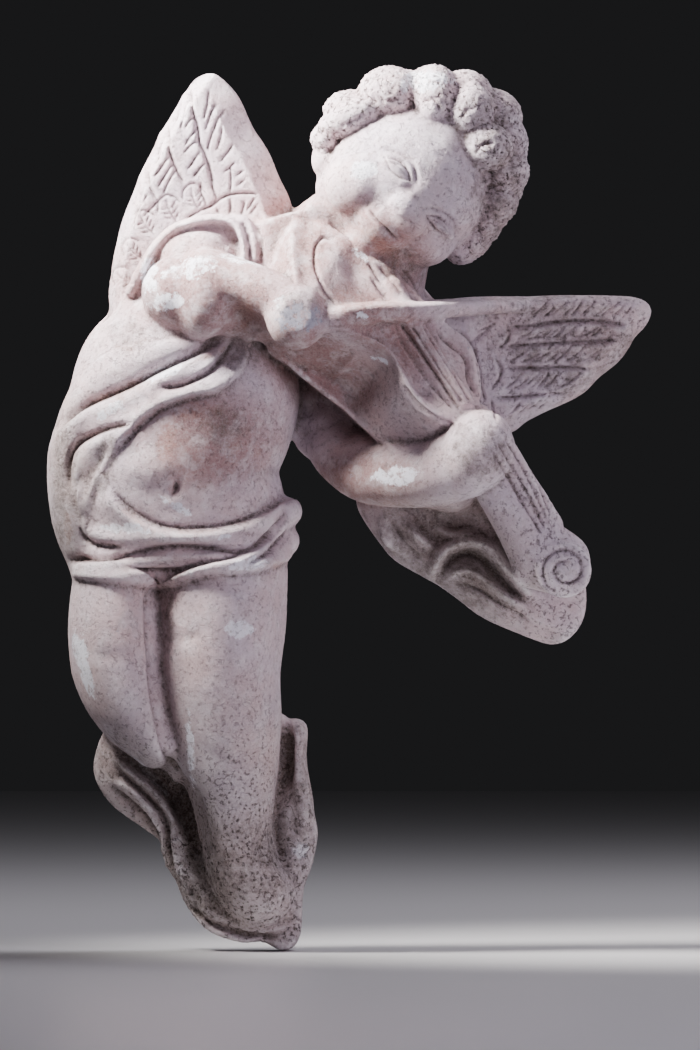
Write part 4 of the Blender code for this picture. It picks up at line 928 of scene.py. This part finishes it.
def paint(mesh):
    """Store on the points where dirt gathers in the cuts, where painted shade fills the broad hollows, what
    is worn, and where the finish has patches, some of them painted shade.
    """
    spots, facing = measured(mesh)
    count = len(spots)
    edges = np.empty(len(mesh.edges) * 2, dtype=np.int64)
    mesh.edges.foreach_get("vertices", edges)
    edges = edges.reshape(-1, 2)
    degree = np.bincount(edges.ravel(), minlength=count).astype(float)

    def blur(values, passes):
        for _ in range(passes):
            total = np.column_stack([np.bincount(edges[:, 0], values[edges[:, 1], k], count)
                                     + np.bincount(edges[:, 1], values[edges[:, 0], k], count)
                                     for k in range(values.shape[1])])
            values = 0.5 * values + 0.5 * total / degree[:, None]
        return values

    near = blur(spots, NEAR_PASSES)
    wide = blur(near, WIDE_PASSES)
    cut = ((near - spots) * facing).sum(axis=1)
    recess = ((wide - spots) * facing).sum(axis=1)
    low = falling(spots, -150, 60)
    right = np.clip((spots[:, 0] - 62) / 30, 0, 1)
    shades = {
        "cut": np.clip(cut / CUT_DEPTH, 0, 1),
        # painted shade in the broad hollows, where the wide average lies above the surface
        "recess": np.clip(recess / HOLLOW_DEPTH, 0, 1),
        "rubbed": np.clip(-recess / RUBBED_HEIGHT - 0.15, 0, 1),
        "limewash": patches(spots, LIMEWASH),
        "terracotta": patches(spots, TERRACOTTA_AND_SHADE),
        "bare": patches(spots, BARE_GREY),
        "flush_and_shade": patches(spots, FLUSH_AND_SHADE),
        "grime": patches(spots, GRIME_AND_SHADE),
        # darker and greyer towards the bottom, with painted shade on the under cloth
        "greyed_and_shade": np.maximum(falling(spots, -130, 55), patches(spots, GREYED_AND_SHADE)),
        "pitted": np.clip(0.2 + 0.75 * hair_share(spots) + 0.8 * low + 0.3 * right, 0, 1),
    }
    for name, values in shades.items():
        layer = mesh.attributes.new(name, "FLOAT", "POINT")
        layer.data.foreach_set("value", values.astype(np.float32))


FINISH_NOISES = [  # name, width of the patches in mm, detail, roughness
    ("cast", 38, 4, 0.55), ("brushed", 6, 5, 0.6), ("scuffed", 2.6, 6, 0.75), ("flaked", 3.8, 7, 0.75),
    ("gritty", 1.3, 4, 0.7), ("grain", 0.8, 6, 0.8), ("curled", 4.5, 2, 0.5), ("strewn", 9, 3, 0.6)]
FINISH_SPANS = [  # name, what it is taken from, from and to
    ("casts", "cast", 0.38, 0.62), ("brushings", "brushed", 0.48, 0.7), ("scuffs", "scuffed", 0.5, 0.7),
    ("worn", "scuffed", 0.40, 0.60), ("specks", "gritty", 0.55, 0.63), ("dust", "grain", 0.45, 0.75),
    ("cling", "gritty", 0.25, 0.6), ("open", "pitted", -0.2, 0.9), ("spread", "strewn", 0.52, 0.6)]
FINISH_SUMS = [  # name, what it starts from, and what is done to that in turn
    ("torn", "flaked", ("SUBTRACT", 0.5), ("MULTIPLY", 4.0)),
    ("wash", "limewash", ("ADD", "torn"), ("SUBTRACT", 0.62), ("MULTIPLY", 3.5)),
    ("clay", "terracotta", ("ADD", "torn"), ("SUBTRACT", 0.55)),
    ("core", "bare", ("ADD", "torn"), ("SUBTRACT", 0.62), ("MULTIPLY", 6.0)),
    ("dirt", "grime", ("ADD", "torn"), ("SUBTRACT", 0.45), ("MULTIPLY", 1.3)),
    ("rubs", "rubbed", ("MULTIPLY", "worn")),
    ("lines", "cut", ("MULTIPLY", "cling")),
    ("pores", "specks", ("MULTIPLY", "open")),
    ("curls", "curled", ("SUBTRACT", 0.5), ("ABSOLUTE", 0.0), ("DIVIDE", -0.02), ("ADD", 1.0),
     ("MAXIMUM", 0.0), ("MULTIPLY", "spread"), ("MULTIPLY", "open")),
    ("pits", "pores", ("MULTIPLY", 1.6)),
    ("height", "scuffed", ("MULTIPLY", 1.6), ("ADD", "grain"), ("SUBTRACT", "pits"), ("SUBTRACT", "curls"))]
FINISH_LAYERS = [  # what lays it, strength, colour
    # The flush, greyed, clay and grime layers are partly painted shade, and the recess layer is painted
    # shade in the broad hollows.
    ("casts", 0.8, "c4b9c4"), ("flush_and_shade", 0.85, "96706b"), ("brushings", 0.6, "e4dbde"),
    ("scuffs", 0.6, "a58f8b"), ("greyed_and_shade", 0.5, "8f8780"), ("clay", 0.6, "ad7f6d"),
    ("rubs", 0.8, "f0ebec"), ("wash", 0.9, "f0eef5"), ("recess", 0.65, "6f5c54"), ("dirt", 0.6, "6a5d57"),
    ("lines", 0.92, "4a3b34"), ("core", 0.9, "a5a3af"), ("dust", 0.3, "f1ecec"), ("pores", 0.85, "564a45"),
    ("curls", 0.8, "64574f")]


def plaster():
    """Cast plaster, brushed with lime and rubbed: matt and chalky, with dirt in the cuts and pores, painted
    shade in the broad hollows, and patches that are partly painted shade.
    """
    material = bpy.data.materials.new("cast plaster with worn limewash")
    material.use_nodes = True
    tree = material.node_tree
    shader = tree.nodes["Principled BSDF"]
    shader.inputs["Roughness"].default_value = 0.93
    shader.inputs["Specular IOR Level"].default_value = 0.2

    def node(kind, links=(), output=0, **settings):
        """Output socket of a new node; links gives each of its inputs a socket or a value."""
        item = tree.nodes.new("ShaderNode" + kind)
        for key, value in settings.items():
            setattr(item, key, value)
        usable = {socket.name: socket for socket in item.inputs if socket.enabled}
        for key, source in dict(links).items():
            socket = item.inputs[key] if isinstance(key, int) else usable[key]
            if isinstance(source, bpy.types.NodeSocket):
                tree.links.new(source, socket)
            else:
                socket.default_value = source
        return [socket for socket in item.outputs if socket.enabled][output]

    sockets = {"where": node("TexCoord", output=3)}
    for name in ("cut", "recess", "rubbed", "limewash", "terracotta", "bare", "flush_and_shade", "grime", "greyed_and_shade",
                 "pitted"):
        sockets[name] = node("Attribute", attribute_name=name, output=2)
    for name, size, detail, roughness in FINISH_NOISES:
        sockets[name] = node("TexNoise", {"Vector": sockets["where"], "W": 3.0 * len(sockets),
                                          "Scale": 1.0 / (size * MM), "Detail": detail,
                                          "Roughness": roughness}, noise_dimensions="4D")
    for name, source, low, high in FINISH_SPANS:
        sockets[name] = node("MapRange", {"Value": sockets[source], "From Min": low, "From Max": high})
    for name, first, *steps in FINISH_SUMS:
        sockets[name] = sockets[first]
        for operation, second in steps:
            sockets[name] = node("Math", {0: sockets[name], 1: sockets.get(second, second)},
                                 operation=operation)
    colour = ink("d0b5b4")
    for name, strength, tint in FINISH_LAYERS:
        amount = node("Math", {0: sockets[name], 1: strength}, operation="MULTIPLY", use_clamp=True)
        colour = node("Mix", {"Factor": amount, "A": colour, "B": ink(tint)}, data_type="RGBA")
    tree.links.new(colour, shader.inputs["Base Color"])
    bump = node("Bump", {"Strength": 0.9, "Distance": 0.4 * MM, "Height": sockets["height"]})
    tree.links.new(bump, shader.inputs["Normal"])
    return material


def fitted(mesh, node):
    """Set the piece to its node's box, from which rounding and grain move the outermost points."""
    low, high = (np.array(corner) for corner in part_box(node))
    spots = rows_of(mesh.vertices, "co")
    small, large = spots.min(axis=0), spots.max(axis=0)
    spots = low + (spots - small) * (high - low) / (large - small)
    mesh.vertices.foreach_set("co", spots.ravel())
    mesh.update()


def figure():
    body = bmesh.new()
    for part in (torso, legs, arms, head, wings, cloth):
        part(body)
    soft = fused("body", body, BODY_SMOOTHING)

    crisp = bmesh.new()
    crisp.from_mesh(soft)
    for part in (violin, fingerboard, bow, features, curls, sleeve_edge):
        part(crisp)
    mesh = fused("carved figure", crisp, CARVED_SMOOTHING)
    refined(mesh)
    carved(mesh, EDGE_LINES,
           SASH_LINES + HIP_LINES + LEG_LINES + LOW_CLOTH_LINES + UNDER_CLOTH_LINES,
           SHOULDER_LINES + feather_lines() + violin_lines() + FACE_LINES
           + eye_lines(41.6, 27.6, 1.0) + eye_lines(56.0, 8.3, 0.9) + NAVEL_LINES + CURL_LINES)
    moved_to(mesh, rubbed_flat(measured(mesh)[0]))
    rough(mesh)
    paint(mesh)
    cut_flat(mesh, FIRST_CUT)

    lump = added("lump", mesh)
    thin = lump.modifiers.new("Thin", "DECIMATE")
    thin.ratio = TRIANGLES / sum(len(face.vertices) - 2 for face in mesh.polygons)
    thin.use_collapse_triangulate = True
    mesh = applied(lump)
    cut_flat(mesh, 0.0)
    fitted(mesh, "violin_angel")
    mesh.shade_smooth()
    mesh.materials.append(plaster())
    angel = added("plaster_angel", mesh)
    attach(angel, "root")
    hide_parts("violin_angel")


# Stage

FLOOR_SIZE = 6.0         # metres
WORLD_LIGHT = 0.02       # the room's own faint light


def floor():
    """Plain sheet in one even grey-white with a soft sheen, level with the figure's lowest rim."""
    bpy.ops.mesh.primitive_plane_add(size=FLOOR_SIZE, location=(0, 0, cad_box[0][2]))
    plane = bpy.context.object
    plane.name = "floor"
    material = bpy.data.materials.new("pale floor")
    material.use_nodes = True
    shader = material.node_tree.nodes["Principled BSDF"]
    shader.inputs["Base Color"].default_value = ink("d9d7d6")
    shader.inputs["Roughness"].default_value = 0.35
    plane.data.materials.append(material)


def lamp(name, spot, target, size, power, tint, spread=180.0):
    light = bpy.data.lights.new(name, "AREA")
    light.shape = "DISK"
    light.size = size
    light.energy = power
    light.spread = math.radians(spread)
    light.color = ink(tint)[:3]
    thing = added(name, light)
    thing.location = spot
    thing.rotation_euler = (Vector(target) - Vector(spot)).to_track_quat("-Z", "Y").to_euler()


def lights():
    middle = (0.0, -0.03, -0.06)
    lamp("key", (-0.26, -0.11, 0.26), (0.0, -0.03, 0.05), 0.14, 2.1, "fffcfb", 60.0)
    lamp("fill", (0.9, -1.1, 0.1), middle, 0.9, 11.0, "f3eaff")
    lamp("top", (0.45, 0.4, 1.0), middle, 1.0, 13.0, "f6f4ff")
    world = bpy.data.worlds.new("studio")
    world.use_nodes = True
    glow = world.node_tree.nodes["Background"].inputs
    glow["Color"].default_value = ink("d2d2d8")
    glow["Strength"].default_value = WORLD_LIGHT
    bpy.context.scene.world = world


FRAME_HEIGHT = 350.0                 # mm of the figure's plane that the picture shows from top to bottom
FRAME_MIDDLE = (25.7, -91.0, 35.0)   # across, up and out at the middle of the picture
CAMERA_DISTANCE = 5.0                # metres


def camera():
    data = bpy.data.cameras.new("camera")
    data.lens = data.sensor_width * CAMERA_DISTANCE / (FRAME_HEIGHT * MM)
    data.clip_end = 20.0
    thing = added("camera", data)
    thing.location = place(*FRAME_MIDDLE) + Vector((0, -CAMERA_DISTANCE, 0))
    thing.rotation_euler = (math.radians(90), 0, 0)
    bpy.context.scene.camera = thing


figure()
floor()
lights()
camera()
